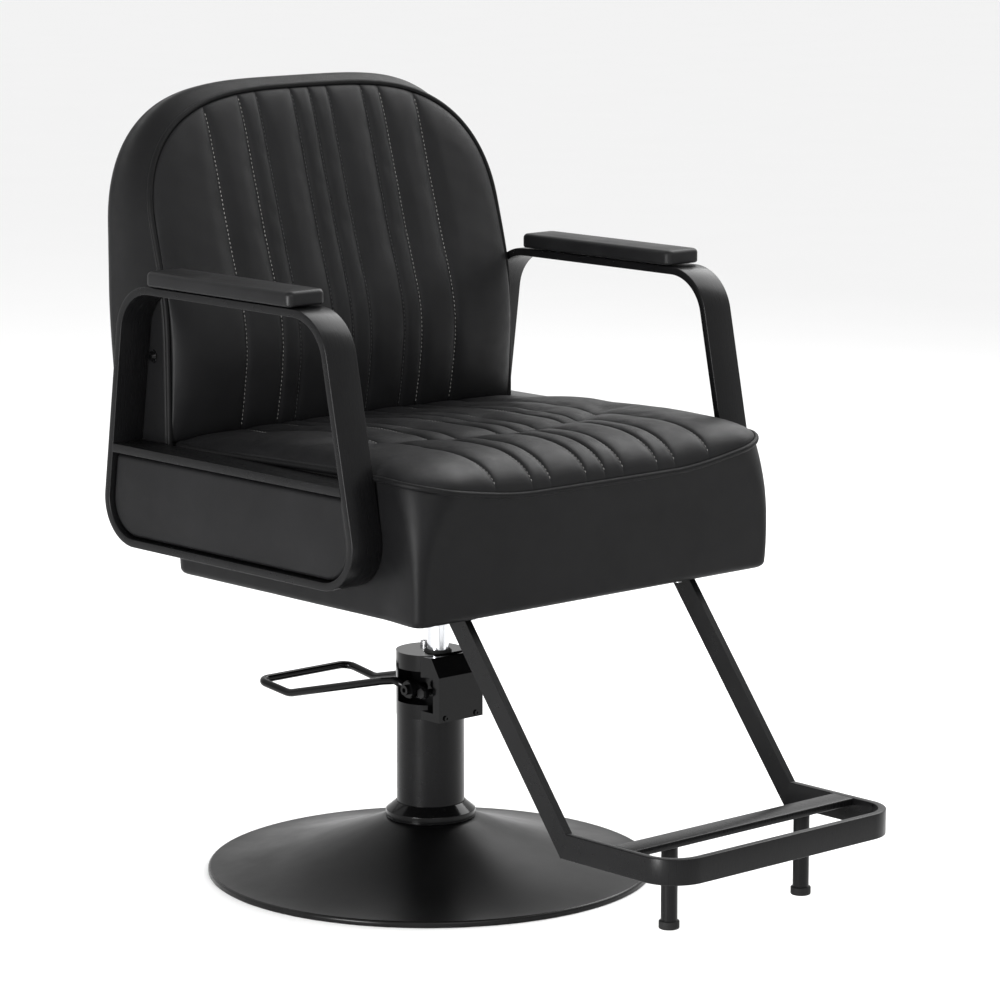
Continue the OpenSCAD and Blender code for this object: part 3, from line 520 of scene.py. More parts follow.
def settle_cloth(top, held, outward, slack, cap, press=1.2, frames=16):
    """Displacement of a panel grid after a cloth simulation on every second row and column of it: held
    corners stay, the rest is pressed along its normals, and no point moves further than cap."""
    coarse, pins = top[::2, ::2], held[::2, ::2].ravel()
    nx, ny = coarse.shape[:2]
    pts = coarse.reshape(-1, 3)
    quads = quad_grid(nx, ny, False, False)
    q = pts[quads[len(quads) // 2]]
    if np.cross(q[1] - q[0], q[3] - q[0]) @ np.array(outward) < 0:
        quads = quads[:, ::-1]
    mesh = bpy.data.meshes.new("sheet")
    mesh.from_pydata(pts.tolist(), [], quads.tolist())
    sheet = bpy.data.objects.new("sheet", mesh)
    bpy.context.scene.collection.objects.link(sheet)
    group = sheet.vertex_groups.new(name="held")
    group.add([int(i) for i in np.flatnonzero(pins)], 1.0, "REPLACE")
    cloth = sheet.modifiers.new("cloth", "CLOTH")
    c = cloth.settings
    c.quality, c.mass, c.vertex_group_mass = 6, 0.25, "held"
    c.tension_stiffness = c.compression_stiffness = 12.0
    c.shear_stiffness, c.bending_stiffness = 6.0, 0.9
    c.tension_damping = c.compression_damping = c.shear_damping = 8.0
    c.use_pressure, c.uniform_pressure_force, c.shrink_min = True, press, -slack
    c.effector_weights.gravity = 0.0
    cloth.collision_settings.use_collision = False
    cloth.point_cache.frame_start, cloth.point_cache.frame_end = 1, frames
    for frame_number in range(1, frames + 1):
        bpy.context.scene.frame_set(frame_number)
    done = sheet.evaluated_get(bpy.context.evaluated_depsgraph_get()).data
    moved = np.empty(len(pts) * 3)
    done.vertices.foreach_get("co", moved)
    shift = moved.reshape(nx, ny, 3) - coarse
    bpy.context.scene.frame_set(1)
    bpy.data.objects.remove(sheet)
    size = np.linalg.norm(shift, axis=-1, keepdims=True)
    shift = shift * np.minimum(1, cap / np.maximum(size, 1e-9))
    print("cloth:", nx * ny, "points, moved up to", round(float(size.max()) * 1000, 2), "mm")
    fine = np.repeat(np.repeat(shift, 2, 0), 2, 1)[:top.shape[0], :top.shape[1]]
    for axis in (0, 1, 0, 1):
        ahead, behind = np.roll(fine, -1, axis), np.roll(fine, 1, axis)
        fine = (ahead + 2 * fine + behind) / 4
    free = 1.0 - held[..., None]
    return fine * free


# %% [markdown]
# ## Seat cushion
# The seat's plan is a rectangle with rounded front corners and a front edge that bows very slightly.
# Its piping is lowest at the middle of the front and climbs round the corners. A front bolster falls away
# to the piping, and behind it a shallow curved crease crosses the seat where the panel is sewn down.

# %% The seat's outline and height
seat_half = 0.2900
seat_rear = 0.1645
seat_front = -0.3262
seat_bow = 0.0022
seat_corner = 0.056
rear_corner = 0.024
edge_z, edge_climb, edge_fall = 0.5515, 0.0262, 0.0080
seat_crown_z = 0.5985


def flare(points):
    """Spreads the seat sideways ahead of the arms, where nothing holds the foam in: up to 6 mm at the
    side, fading out towards the middle and behind the arms' front posts."""
    out = points.copy()
    spread = 0.0060 * ramp(-0.236, -0.304, points[..., 1]) * ramp(0.20, 0.29, np.abs(points[..., 0]))
    out[..., 0] += np.sign(points[..., 0]) * spread
    return out


def seat_low(x, corner=seat_corner, bow=seat_bow, half=seat_half):
    """Front edge of the plan at x: a very shallow parabola that ends in corner arcs."""
    over = np.clip(np.abs(x) - (half - corner), 0, corner)
    return seat_front - bow * (1 - (x / half) ** 2) + corner - np.sqrt(np.maximum(corner ** 2 - over ** 2, 0))


def seat_high(x, half=seat_half):
    """Rear edge of the plan at x, with its own small corners."""
    over = np.clip(np.abs(x) - (half - rear_corner), 0, rear_corner)
    return seat_rear - rear_corner + np.sqrt(np.maximum(rear_corner ** 2 - over ** 2, 0))


def seam_height(x, y):
    """Height of the piping at x, y, measured by the way along the edge: lowest at the middle of the
    front, a climb round the corner, then a slow fall towards the backrest."""
    way = np.abs(x) + y - seat_front
    return edge_z + edge_climb * ramp(0.110, 0.360, way) - edge_fall * ramp(0.360, 0.770, way)


def seat_surface(x, y, lo, hi):
    """Height of the sewn top: seam height, plus a dome of the distance to the nearest edge, plus the
    front bolster, the crease, the channels (flatter behind the crease) and slow ripples."""
    front, rear, side = (y - lo) / 0.092, (hi - y) / 0.030, (seat_half - np.abs(x)) / 0.075
    inside = dome(front) * dome(rear) * dome(side)
    seam = seam_height(x, y)
    crown = seat_crown_z + 0.002 * ramp(-0.10, -0.22, y) - 0.016 * ramp(-0.04, 0.14, y)
    crown = crown - 0.004 * (x / seat_half) ** 2
    crease_at = -0.178 + 0.070 * (x / 0.2) ** 2
    along = (y - crease_at)
    dip = 0.0050 * np.exp(-np.abs(along / 0.020) ** 1.5) * ramp(0.275, 0.20, np.abs(x))
    soft = np.clip(inside, 0, 1) ** 0.5
    z = seam + (crown - seam) * inside
    calm = (1 - 0.35 * dip / 0.0050) * (1 - 0.45 * ramp(-0.150, -0.050, y))
    return z - dip * soft + channels(x, row_places, soft * calm) + ripples(x, y, 0.0005) * inside


columns = panel_columns(seat_half, row_places)
x, y, lo, hi = panel_grid(columns, seat_low, seat_high)
seat_top = flare(np.stack([x, y, seat_surface(x, y, lo, hi)], -1))
held = held_points(columns, row_places, x.shape[1])
seat_shift = settle_cloth(seat_top, held, (0, 0, 1), slack=0.0012, cap=0.0022)
seat_pad = pad_from_top("seat_cushion_cover", seat_top + seat_shift, (0, 0, -0.004), (0, -0.08, 0.548))
settle(seat_pad, "seat", "padding", leather, "seat_cushion")
print("seat cushion: crown at", round(float(seat_top[..., 2].max()), 4), "m")

# %% [markdown]
# ## Seat boxing
# The band under the cushion is one length of leather around the foam and the board. Its front corners
# are tight at the bottom, where the board is, and open out to the piping's big corners at the top. Its
# lower edge is folded under the board. As a surface it is the plan outline carried upwards, with the
# corner radius as a function of height.

# %% The boxing as rings of the plan outline
box_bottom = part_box("seat_box")[0].z


def seat_ring(corner, bow, out, front=seat_front, count=90):
    """The seat's plan as a closed ring: rounded front corners, bowed front, moved outwards by out."""
    half, front, rear = seat_half + out, front - out, seat_rear + out
    path = bent([(-half, front), (half, front), (half, rear), (-half, rear)],
                [corner, corner, rear_corner + out, rear_corner + out], closed=True, steps=18)
    step = np.linalg.norm(np.roll(path, -1, 0) - path, axis=1)
    s = np.concatenate([[0], np.cumsum(step)])
    even = np.linspace(0, s[-1], 6 * count, endpoint=False)
    loop = np.vstack([path, path[:1]])
    ring = np.stack([np.interp(even, s, loop[:, 0]), np.interp(even, s, loop[:, 1])], -1)
    ring[:, 1] -= bow * np.clip(1 - (ring[:, 0] / half) ** 2, 0, 1) * ramp(0.0, front + 0.02, ring[:, 1])
    return flare(ring)


def boxing_rings():
    """Rings from the folded lower edge up to the seam. With v the share of the height, the front corner
    radius is 10 mm + 46 v^2.6 and the front leans out by 8 v^2. The heel rounds the lower rear edge."""
    rings, low_front, heel = [], -0.3180, 0.014
    for inset in (0.060, 0.020, 0.009):
        r = seat_ring(0.010, 0.0, -inset, low_front)
        rings.append((r, np.full(len(r), box_bottom + 0.0006)))
    for a in np.linspace(0.2, 1, 6) * np.pi / 2:
        r = seat_ring(0.010, 0.0, -0.009 + 0.009 * np.sin(a), low_front)
        rings.append((r, np.full(len(r), box_bottom + 0.009 - 0.009 * np.cos(a))))
    for v in np.linspace(0.04, 1, 34):
        out = 0.0022 * math.sin(math.pi * v) ** 0.8 - 0.0008 * v
        r = seat_ring(0.010 + 0.046 * v ** 2.6, seat_bow * v * v, out,
                      low_front + (seat_front - low_front) * v * v)
        low = box_bottom + 0.009
        rings.append((r, low + (seam_height(r[:, 0], r[:, 1]) - low) * v))
    out = []
    for ring, z in rings:
        near = np.clip(ring[:, 1] - (seat_rear - heel), 0, heel)
        lift = heel - np.sqrt(heel ** 2 - near ** 2)
        out.append(np.stack([ring[:, 0], ring[:, 1], z + lift * (1 - (z - box_bottom) / 0.17)], -1))
    return np.array(out)


rings = boxing_rings()
rings[..., 0] += ripples(rings[..., 1], rings[..., 2], 0.0003)
boxing = closed_tube("seat_boxing", rings)
# The boxing wears the darker leather copy, whose colour is painted shade.
settle(boxing, "seat", "upholstery", band_leather_painted_shade, "seat_box", "seat_foam")
print("boxing:", len(boxing.data.polygons), "faces")

# %% [markdown]
# ## Backrest
# Seen from the front, the backrest is a rectangle under an arch. The arch is a superellipse: one power
# sets how square its shoulders are and another how flat its top is. Its front edge stands upright at the
# lumbar and then leans back; its rear is nearly upright, so the body is thick below and thinner above.

# %% The backrest's outline, front edge and rear
back_half = 0.2890
back_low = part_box("back_foam")[0].z
arch_z = 0.840
pipe_top = 1.0065
rear_top = 1.0145
shoulder, flatness = 3.3, 2.2


def arch_height(x, half=back_half, top=pipe_top):
    """Height of the arch over x: (x / half) to the shoulder power plus height to the flatness power
    is one."""
    share = np.clip(1 - np.abs(x / half) ** shoulder, 0, 1)
    return arch_z + (top - arch_z) * share ** (1 / flatness)


def front_edge(z):
    """Depth of the front seam: upright low down, then leaning back, with a soft bend between."""
    bend = 0.020
    return 0.169 + 0.285 * bend * np.log1p(np.exp((np.asarray(z) - 0.745) / bend))


def rear_face(z):
    """Depth of the rear face: upright above the seat, drawn in a little towards the bottom."""
    return 0.3065 - 0.020 * ramp(0.76, 0.50, z)


def back_ring(half, top, low, power=shoulder, corner=0.014, sides=40, arch=90):
    """The outline as a closed ring of x, z: lower corners, straight sides and the arch."""
    a = np.linspace(0, np.pi, 2 * arch + 1)
    xs = half * np.sign(np.cos(a)) * np.abs(np.cos(a)) ** (2 / power)
    zs = arch_z + (top - arch_z) * np.sin(a) ** (2 / flatness)
    up = np.linspace(low + corner, arch_z, sides, endpoint=False)
    c = np.linspace(-np.pi / 2, 0, 6)
    right = np.stack([half - corner + corner * np.cos(c), low + corner + corner * np.sin(c)], -1)
    bottom = np.linspace(-half + corner, half - corner, 40)[1:-1]
    side = np.full(sides - 1, half)
    return np.vstack([np.stack([bottom, np.full(len(bottom), low)], -1), right, np.stack([side, up[1:]], -1),
                      np.stack([xs, zs], -1), np.stack([-side, up[:0:-1]], -1), right[::-1] * [-1, 1]])


def back_rings():
    """Rings from inside the front seam, over the boxing and the rounded rear edge, to the rear middle."""
    rounding, out = 0.022, []

    def ring(inset, share, top):
        r = back_ring(back_half - inset, top - inset, back_low + inset, shoulder + 0.7 * ramp(0, 0.7, share))
        y = front_edge(r[:, 1]) * (1 - share) + (rear_face(r[:, 1]) - rounding) * share
        return r, y

    for inset, ahead in ((0.060, -0.002), (0.014, -0.001), (0.005, 0.0), (0.0015, 0.0012)):
        r, y = ring(inset, 0, pipe_top)
        out.append(np.stack([r[:, 0], y + ahead + 0.002, r[:, 1]], -1))
    for share in np.linspace(0.03, 1, 16):
        bulge = 0.0035 * math.sin(math.pi * share)
        r, y = ring(-bulge, share, pipe_top + (rear_top - pipe_top) * ramp(0, 0.8, share))
        out.append(np.stack([r[:, 0], y, r[:, 1]], -1))
    for a in np.linspace(0.12, 1, 8) * np.pi / 2:
        r, y = ring(rounding * (1 - math.cos(a)), 1, rear_top)
        out.append(np.stack([r[:, 0], y + rounding * math.sin(a), r[:, 1]], -1))
    r, y = ring(rounding, 1, rear_top)
    middle = np.array([0.0, 0.74])
    for s in (0.99, 0.975, 0.96, 0.94, 0.91, 0.86, 0.78, 0.66, 0.5, 0.3, 0.12):
        p = middle + (r - middle) * s
        seam = 0.0022 * math.exp(-((s - 0.96) / 0.008) ** 2)
        crown = 0.006 * (1 - s * s)
        out.append(np.stack([p[:, 0], rear_face(p[:, 1]) + crown - seam, p[:, 1]], -1))
    return np.array(out)


rings = back_rings()
shell = closed_tube("backrest_cover", rings)
# The shell wears the darker leather copy, whose colour is painted shade.
settle(shell, "seat", "padding", band_leather_painted_shade, "back_foam", "back_cover")
print("backrest:", round(float(rings[..., 2].max()), 4), "m high")

# %% [markdown]
# ## Backrest cushion
# The front panel uses the same columns and channels as the seat, but it stands up: the height of the
# quilting is now a distance towards the sitter. It swells most at the lumbar.

# %% The backrest's front panel
panel_low = 0.5720
back_rows = row_places * 0.985


def back_bottom(x):
    """Lower edge of the panel, hidden behind the seat."""
    return np.full_like(x, panel_low)


def back_arch(x):
    """Upper edge of the panel, 2 mm inside the seam."""
    return arch_height(x, back_half - 0.002, pipe_top - 0.002)


def back_surface(x, z, lo, hi):
    """Depth of the panel: the seam's depth, less a dome that swells at the lumbar, less the channels."""
    side, top, low = (back_half - np.abs(x)) / 0.065, (hi - z) / 0.050, (z - lo) / 0.060
    inside = dome(side) * dome(top) * dome(low)
    swell = 0.0085 + 0.0125 * np.exp(-((z - 0.685) / 0.075) ** 2)
    seam = front_edge(z) + 0.0005
    soft = np.clip(inside, 0, 1) ** 0.6
    return seam - swell * inside - channels(x, back_rows, soft) * 0.8 - ripples(x, z, 0.0004) * inside


columns = panel_columns(back_half - 0.002, back_rows)
x, z, lo, hi = panel_grid(columns, back_bottom, back_arch)
back_front = np.stack([x, back_surface(x, z, lo, hi), z], -1)
held = held_points(columns, back_rows, x.shape[1])
back_shift = settle_cloth(back_front, held, (0, -1, 0), slack=0.0005, cap=0.0012)
back_pad = pad_from_top("back_cushion_cover", back_front + back_shift, (0, 0.004, 0), (0, 0.215, 0.79))
settle(back_pad, "seat", "padding", leather, "back_cushion")
print("back cushion:", len(back_pad.data.polygons), "faces")

# %% [markdown]
# ## Piping
# Piping is a cord wrapped in the same leather and sewn into the seam. It follows each cushion's outline
# exactly, so it is a round section carried along the ring that the boxing already uses.

# %% Piping along both seams
pipe_radius = 0.0038


def lay_piping(name, line, across, node):
    """A round cord along a closed line, in place of a frame node."""
    cord = closed_tube(name, carry(line, round_section(pipe_radius, 12), across, True), False)
    # The cord's darker leather copy is painted shade.
    settle(cord, "seat", "piping", piping_leather_painted_shade, node)


ring = seat_ring(seat_corner, seat_bow, 0.0006)
seat_line = np.stack([ring[:, 0], ring[:, 1], seam_height(ring[:, 0], ring[:, 1]) + 0.0008], -1)
lay_piping("seat_piping_cord", seat_line, (0, 0, 1), "seat_piping")
ring = back_ring(back_half + 0.0005, pipe_top + 0.0005, back_low + 0.001)
back_line = np.stack([ring[:, 0], front_edge(ring[:, 1]) - 0.0005, ring[:, 1]], -1)
lay_piping("back_piping_cord", back_line, (0, 1, 0), "back_piping")

# %% [markdown]
# ## Stitches
# A stitch is a short length of thread that dives into the leather at both ends. Hundreds of them are
# placed by whole arrays: one small lens-shaped bead of a few dozen faces is stretched along each step
# of a row, turned to the row's direction, and laid on the leather.

# %% Beads of thread along a line on a surface
stitch_pitch = 0.0056
stitch_long = 0.0034
thread_radius = 0.00055
thread_proud = 0.0008


def evenly(line, pitch):
    """The line resampled so that its points are one pitch apart."""
    step = np.concatenate([[0], np.cumsum(np.linalg.norm(np.diff(line, axis=0), axis=1))])
    s = np.arange(0, step[-1], pitch)
    return np.stack([np.interp(s, step, line[:, k]) for k in range(3)], -1)


def stitches(name, lines, up, material):
    """All stitches of some lines as one piece: a bead's along, side and up axes come from the line."""
    starts, ends = [], []
    for line in lines:
        p = evenly(line, stitch_pitch)
        d = unit(p[1:] - p[:-1])
        starts.append(p[:-1])
        ends.append(p[:-1] + d * stitch_long)
    a, b = np.vstack(starts), np.vstack(ends)
    along = unit(b - a)
    top = np.broadcast_to(np.array(up, float), a.shape)
    side = unit(np.cross(along, top))
    top = np.cross(side, along)
    t = np.linspace(0, 1, 5)
    width = np.sqrt(np.clip(1 - (2 * t - 1) ** 2, 0.02, 1))
    k = np.linspace(0, 2 * np.pi, 6, endpoint=False)
    centre = (a[:, None] + (b - a)[:, None] * t[None, :, None]
              + top[:, None] * (thread_proud * width[None, :, None]))
    ring = (side[:, None, None] * np.cos(k)[None, None, :, None]
            + top[:, None, None] * np.sin(k)[None, None, :, None])
    pts = centre[:, :, None] + ring * (thread_radius * width)[None, :, None, None]
    n = len(a)
    base = np.arange(n) * len(t) * len(k)
    quads = (quad_grid(len(t), len(k), False, True)[None] + base[:, None, None]).reshape(-1, 4)
    cap = np.array([[0, 1, 2], [0, 2, 3], [0, 3, 4], [0, 4, 5]])
    caps = np.vstack([cap, cap + (len(t) - 1) * len(k)])
    tris = (caps[None] + base[:, None, None]).reshape(-1, 3)
    piece = build(name, pts.reshape(-1, 3), quads, tris)
    print(name, "holds", n, "stitches")
    return settle(piece, "seat", "upholstery", material)


def seat_row(at):
    """One stitched row on the seat, from the front seam to the rear."""
    y = np.linspace(float(seat_low(np.array([at]))[0]) + 0.004, seat_rear - 0.004, 260)
    x = np.full_like(y, at)
    return flare(np.stack([x, y, seat_surface(x, y, seat_low(x), seat_high(x))], -1))


def back_row(at):
    """One stitched row on the backrest, from the seat up to the arch."""
    z = np.linspace(0.585, float(arch_height(np.array([at]))[0]) - 0.006, 260)
    x = np.full_like(z, at)
    return np.stack([x, back_surface(x, z, back_bottom(x), back_arch(x)), z], -1)


pale = (0, 1, 7, 8)
stitches("seat_stitches", [seat_row(r) for r in row_places], (0, 0, 1), thread_grey)
stitches("back_stitches_pale", [back_row(back_rows[k]) for k in pale], (0, -1, 0), thread_pale)
dark = [k for k in range(len(back_rows)) if k not in pale]
stitches("back_stitches_dark", [back_row(back_rows[k]) for k in dark], (0, -1, 0), thread_dark)

# %% [markdown]
# ## Arm frames
# Each arm is one flat strip bent into a closed loop and welded: four bends in a sloping four-sided
# shape. The strip stands with its width across the chair, so the path lies in a side plane and the
# section's long axis is X. A cross rail of the same strip closes the space above the side panel.

# %% Loops and rails
arm_lo, arm_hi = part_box("arm_frame_left")
strip_wide = arm_hi.x - arm_lo.x
strip_thick = 0.010
arm_mid = (arm_lo.x + arm_hi.x) / 2
lower_rear, upper_rear = (0.2483, arm_lo.z), (0.2018, arm_hi.z)
upper_front, lower_front = (-0.1932, arm_hi.z), (-0.2629, arm_lo.z)
lower_bend, upper_bend = 0.058, 0.065
rail_low, rail_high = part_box("arm_rail_left")[0].z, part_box("arm_rail_left")[1].z


def inset_corners(corners, t):
    """A convex outline's corners moved inwards by t."""
    c = np.array(corners, float)
    e1, e2 = unit(c - np.roll(c, 1, 0)), unit(np.roll(c, -1, 0) - c)
    turn = np.sign(np.sum(e1[:, 0] * e2[:, 1] - e1[:, 1] * e2[:, 0]))
    n1, n2 = turn * np.stack([-e1[:, 1], e1[:, 0]], -1), turn * np.stack([-e2[:, 1], e2[:, 0]], -1)
    return c + t * (n1 + n2) / (1 + (n1 * n2).sum(-1, keepdims=True))


outer = [lower_rear, upper_rear, upper_front, lower_front]
middle_line = inset_corners(outer, strip_thick / 2)
inner_line = inset_corners(outer, strip_thick)


def in_plane(yz, x):
    """Points y, z placed at depth x."""
    yz = np.atleast_2d(yz)
    return np.column_stack([np.full(len(yz), x), yz[:, 0], yz[:, 1]])


def side_at(z, front):
    """Depth of the loop's inner face at height z, at its front or rear."""
    a, b = (inner_line[3], inner_line[2]) if front else (inner_line[0], inner_line[1])
    return a[0] + (b[0] - a[0]) * (z - a[1]) / (b[1] - a[1])


def painted_bar(piece, node):
    """A bar of the seat's steel frame: crisp edges, powder coat, in place of a frame node."""
    settle(crisp(piece, 50), "seat", "frame_paint", frame_black, node)


def arm_loop(side, label):
    """The bent strip of one arm, on the side given by the sign of X."""
    path = bent(in_plane(middle_line, side * arm_mid), [lower_bend - 0.005, upper_bend - 0.005,
                upper_bend - 0.005, lower_bend - 0.005], closed=True, steps=22)
    section = bar_section(strip_wide, strip_thick, 0.0011)
    loop = closed_tube("arm_loop_" + label, carry(path, section, (1, 0, 0), True), False)
    painted_bar(loop, "arm_frame_" + label)


def arm_cross_rail(side, label):
    """The rail inside one loop, its ends cut to the slope of the loop's inner face."""
    section = bar_section(strip_wide, rail_high - rail_low, 0.0010)
    z = (rail_low + rail_high) / 2 + section[:, 1]
    ends = [np.stack([side * (arm_mid + section[:, 0]), side_at(z, front), z], -1) for front in (True, False)]
    rail = closed_tube("arm_rail_bar_" + label, np.array(ends))
    painted_bar(rail, "arm_rail_" + label)


for side, label in ((-1, "right"), (1, "left")):
    arm_loop(side, label)
    arm_cross_rail(side, label)
print("arm strip:", round(strip_wide * 1000, 1), "mm wide")

# %% [markdown]
# ## Side panels
# The space below each rail holds a board wrapped in thin foam and leather. It stands a few millimetres
# behind the strip's edge. Its face is the window's outline shrunk step by step: a tight roll at the
# edge, then a nearly flat middle with the slightest crown.

# %% Upholstered side panels
panel_gap = 0.0022
panel_roll = 0.0065


def side_panel(side, label):
    """Rings of the window outline: back face, wrapped edge, face, and a fan in the middle."""
    window = [inner_line[0], (side_at(rail_low, False), rail_low), (side_at(rail_low, True), rail_low),
              inner_line[3]]
    face, back = arm_hi.x - 0.0045, arm_lo.x + 0.0095

    def ring(t, x):
        c = inset_corners(window, panel_gap + t)
        low = max(lower_bend - strip_thick - panel_gap - t, 0.006)
        return in_plane(bent(c, [low, 0.006, 0.006, low], closed=True, steps=16), side * x)

    rings = [ring(0.02, back), ring(0.0, back)]
    for a in np.linspace(0, 1, 8) * np.pi / 2:
        rings.append(ring(panel_roll * (1 - math.cos(a)), face - panel_roll + panel_roll * math.sin(a)))
    for t in (0.012, 0.020, 0.032, 0.044):
        rings.append(ring(t, face + 0.0014 * ramp(0.006, 0.044, t)))
    panel = closed_tube("side_panel_cover_" + label, np.array(rings))
    # The panel wears the lighter leather copy, whose colour is painted light.
    settle(panel, "seat", "upholstery", panel_leather_painted_light, "side_panel_" + label)


side_panel(-1, "right")
side_panel(1, "left")

# %% [markdown]
# ## Arm pads
# Moulded urethane over a steel insert. The mould parts just above the underside, so the lower edge is
# tight and the upper one is rounder, and the ends are square in plan with small corners.

# %% Arm pads
pad_lo, pad_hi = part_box("arm_pad_left")


def arm_pad(side, label):
    """Level rings from the underside up: an arc at the lower edge, a straight side, a larger arc at the
    upper edge, then a top that crowns by a millimetre."""
    wide, long = (pad_hi.x - pad_lo.x) / 2, (pad_hi.y - pad_lo.y) / 2
    cx, cy, corner = side * (pad_lo.x + wide), (pad_lo.y + pad_hi.y) / 2, 0.0095

    def ring(t, z):
        box = [(cx - wide + t, cy - long + t), (cx + wide - t, cy - long + t), (cx + wide - t, cy + long - t),
               (cx - wide + t, cy + long - t)]
        flat = bent(box, [max(corner - t, 0.003)] * 4, closed=True, steps=10)
        return np.column_stack([flat, np.full(len(flat), z)])

    low, high, crown = 0.0030, 0.0060, 0.0012
    rings = [ring(0.014, pad_lo.z)]
    for a in np.linspace(0, 1.57, 5):
        rings.append(ring(low * (1 - math.sin(a)), pad_lo.z + low * (1 - math.cos(a))))
    for a in np.linspace(0, 1.57, 8):
        rings.append(ring(high * (1 - math.cos(a)), pad_hi.z - high - crown + high * math.sin(a)))
    for t in (0.010, 0.015, 0.020, 0.025):
        rings.append(ring(t, pad_hi.z - crown + crown * ramp(0.004, 0.024, t)))
    pad = closed_tube("arm_pad_moulding_" + label, np.array(rings))
    settle(pad, "seat", "arm_pad", urethane, "arm_pad_" + label)


arm_pad(-1, "right")
arm_pad(1, "left")

# %% [markdown]
# ## Footrest
# One flat bar on edge: down from the seat as a strut, mitred and welded at the elbow, then bent round in
# a level U. The strut keeps its thickness across X; its ends are cut level at the seat and on the mitre.

# %% Struts, loop, tread, legs and feet
loop_lo, loop_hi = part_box("footrest_loop")
strut_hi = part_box("footrest_strut_left")[1]
bar_thick = 0.010
slope = 0.785
strut_rear = -0.370
strut_deep = 0.0349


def strut_line(z):
    """Depth of the strut's rear edge at height z."""
    return strut_rear + slope * (z - 0.250)


def foot_strut(side, label):
    """A flat bar between its level top cut and the mitre at the elbow."""
    mid = side * (loop_hi.x - bar_thick / 2)
    s = bar_section(1.0, bar_thick, 0.0010)
    share = (s[:, 0] + 0.5)
    corner_top = ((strut_line(strut_hi.z) - strut_deep, strut_hi.z), (strut_line(strut_hi.z), strut_hi.z))
    corner_low = ((strut_line(loop_hi.z) - strut_deep + 0.0012, loop_hi.z),
                  (strut_line(loop_lo.z) + 0.0002, loop_lo.z))
    rings = []
    for (y0, z0), (y1, z1) in (corner_top, corner_low):
        rings.append(np.stack([mid + s[:, 1], y0 + (y1 - y0) * share, z0 + (z1 - z0) * share], -1))
    bar = closed_tube("footrest_strut_bar_" + label, np.array(rings))
    painted_bar(bar, "footrest_strut_" + label)


def foot_loop():
    """The level U: a bar on edge carried round two bends, its ends cut on the mitre."""
    high = loop_hi.z - loop_lo.z
    half = loop_hi.x - bar_thick / 2
    front = loop_lo.y + bar_thick / 2
    mid_z = (loop_lo.z + loop_hi.z) / 2
    rear = strut_line(loop_lo.z)
    path = bent([(-half, rear, mid_z), (-half, front, mid_z), (half, front, mid_z), (half, rear, mid_z)],
                [0, 0.043, 0.043, 0], steps=20)
    rings = carry(path, bar_section(high, bar_thick, 0.0010), (0, 0, 1))
    cut_low, cut_high = strut_line(loop_lo.z) + 0.0002, strut_line(loop_hi.z) - strut_deep + 0.0012
    for end in (0, -1):
        share = (rings[end, :, 2] - loop_lo.z) / high
        rings[end, :, 1] = cut_low + (cut_high - cut_low) * share
    bar = closed_tube("footrest_loop_bar", rings)
    painted_bar(bar, "footrest_loop")


def foot_tread():
    """The flat tread across the loop, with rounded long edges."""
    lo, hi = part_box("footrest_tread")
    y, z = (lo.y + hi.y) / 2, (lo.z + hi.z) / 2
    section = bar_section(hi.y - lo.y, hi.z - lo.z, 0.0014)
    bar = closed_tube("footrest_tread_bar", carry(np.array([(lo.x, y, z), (hi.x, y, z)]), section, (0, 1, 0)))
    painted_bar(bar, "footrest_tread")


def joined(name, pieces):
    """Several meshes of one finish as a single piece."""
    bm = bmesh.new()
    for piece in pieces:
        bm.from_mesh(piece.data)
        bpy.data.objects.remove(piece)
    mesh = bpy.data.meshes.new(name)
    bm.to_mesh(mesh)
    bm.free()
    piece = bpy.data.objects.new(name, mesh)
    bpy.context.scene.collection.objects.link(piece)
    return piece


def foot_legs():
    """Two round legs under the tread and the rubber foot on each."""
    lo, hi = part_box("footrest_legs")
    flo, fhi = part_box("footrest_feet")
    y = (lo.y + hi.y) / 2
    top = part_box("footrest_tread")[0].z
    leg_radius, foot_edge = 0.0100, 0.0015
    spread = hi.x - leg_radius
    leg = [(0, fhi.z), (leg_radius, fhi.z), (leg_radius, top), (0, top)]
    foot = [(0, flo.z), *arc2(0.0110, flo.z + foot_edge, foot_edge, -90, 0),
            *arc2(0.0110, fhi.z - foot_edge, foot_edge, 0, 90), (0.0101, fhi.z), (0.0, fhi.z)]
    legs = [turned("leg", leg, (x, y), 40) for x in (-spread, spread)]
    feet = [turned("foot", foot, (x, y), 40) for x in (-spread, spread)]
    settle(crisp(joined("footrest_leg_rods", legs), 40), "seat", "frame_paint", frame_black, "footrest_legs")
    settle(crisp(joined("footrest_rubber_feet", feet), 40), "seat", "rubber", rubber, "footrest_feet")


foot_strut(-1, "right")
foot_strut(1, "left")
foot_loop()
foot_tread()
foot_legs()

# %% [markdown]
# ## Base
# The dish is pressed from sheet: flat under the column, then a curve that falls steeply and flattens
# towards the rim. That is a power of the distance from the rim. Turning a smooth profile gives a clean
# reflection that a faceted cone could not.

# %% Dish and floor ring
dish_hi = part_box("base_dish")[1]
ring_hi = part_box("base_ring")[1]
base_radius = ring_hi.x
flat_radius = 0.060
dish_sheet = 0.003


def dish_height(r):
    """Height of the dish at radius r: rim height plus a 1.5 power of the distance from the rim."""
    share = np.clip((base_radius - r) / (base_radius - flat_radius), 0, 1)
    return ring_hi.z + (dish_hi.z - ring_hi.z) * share ** 1.5


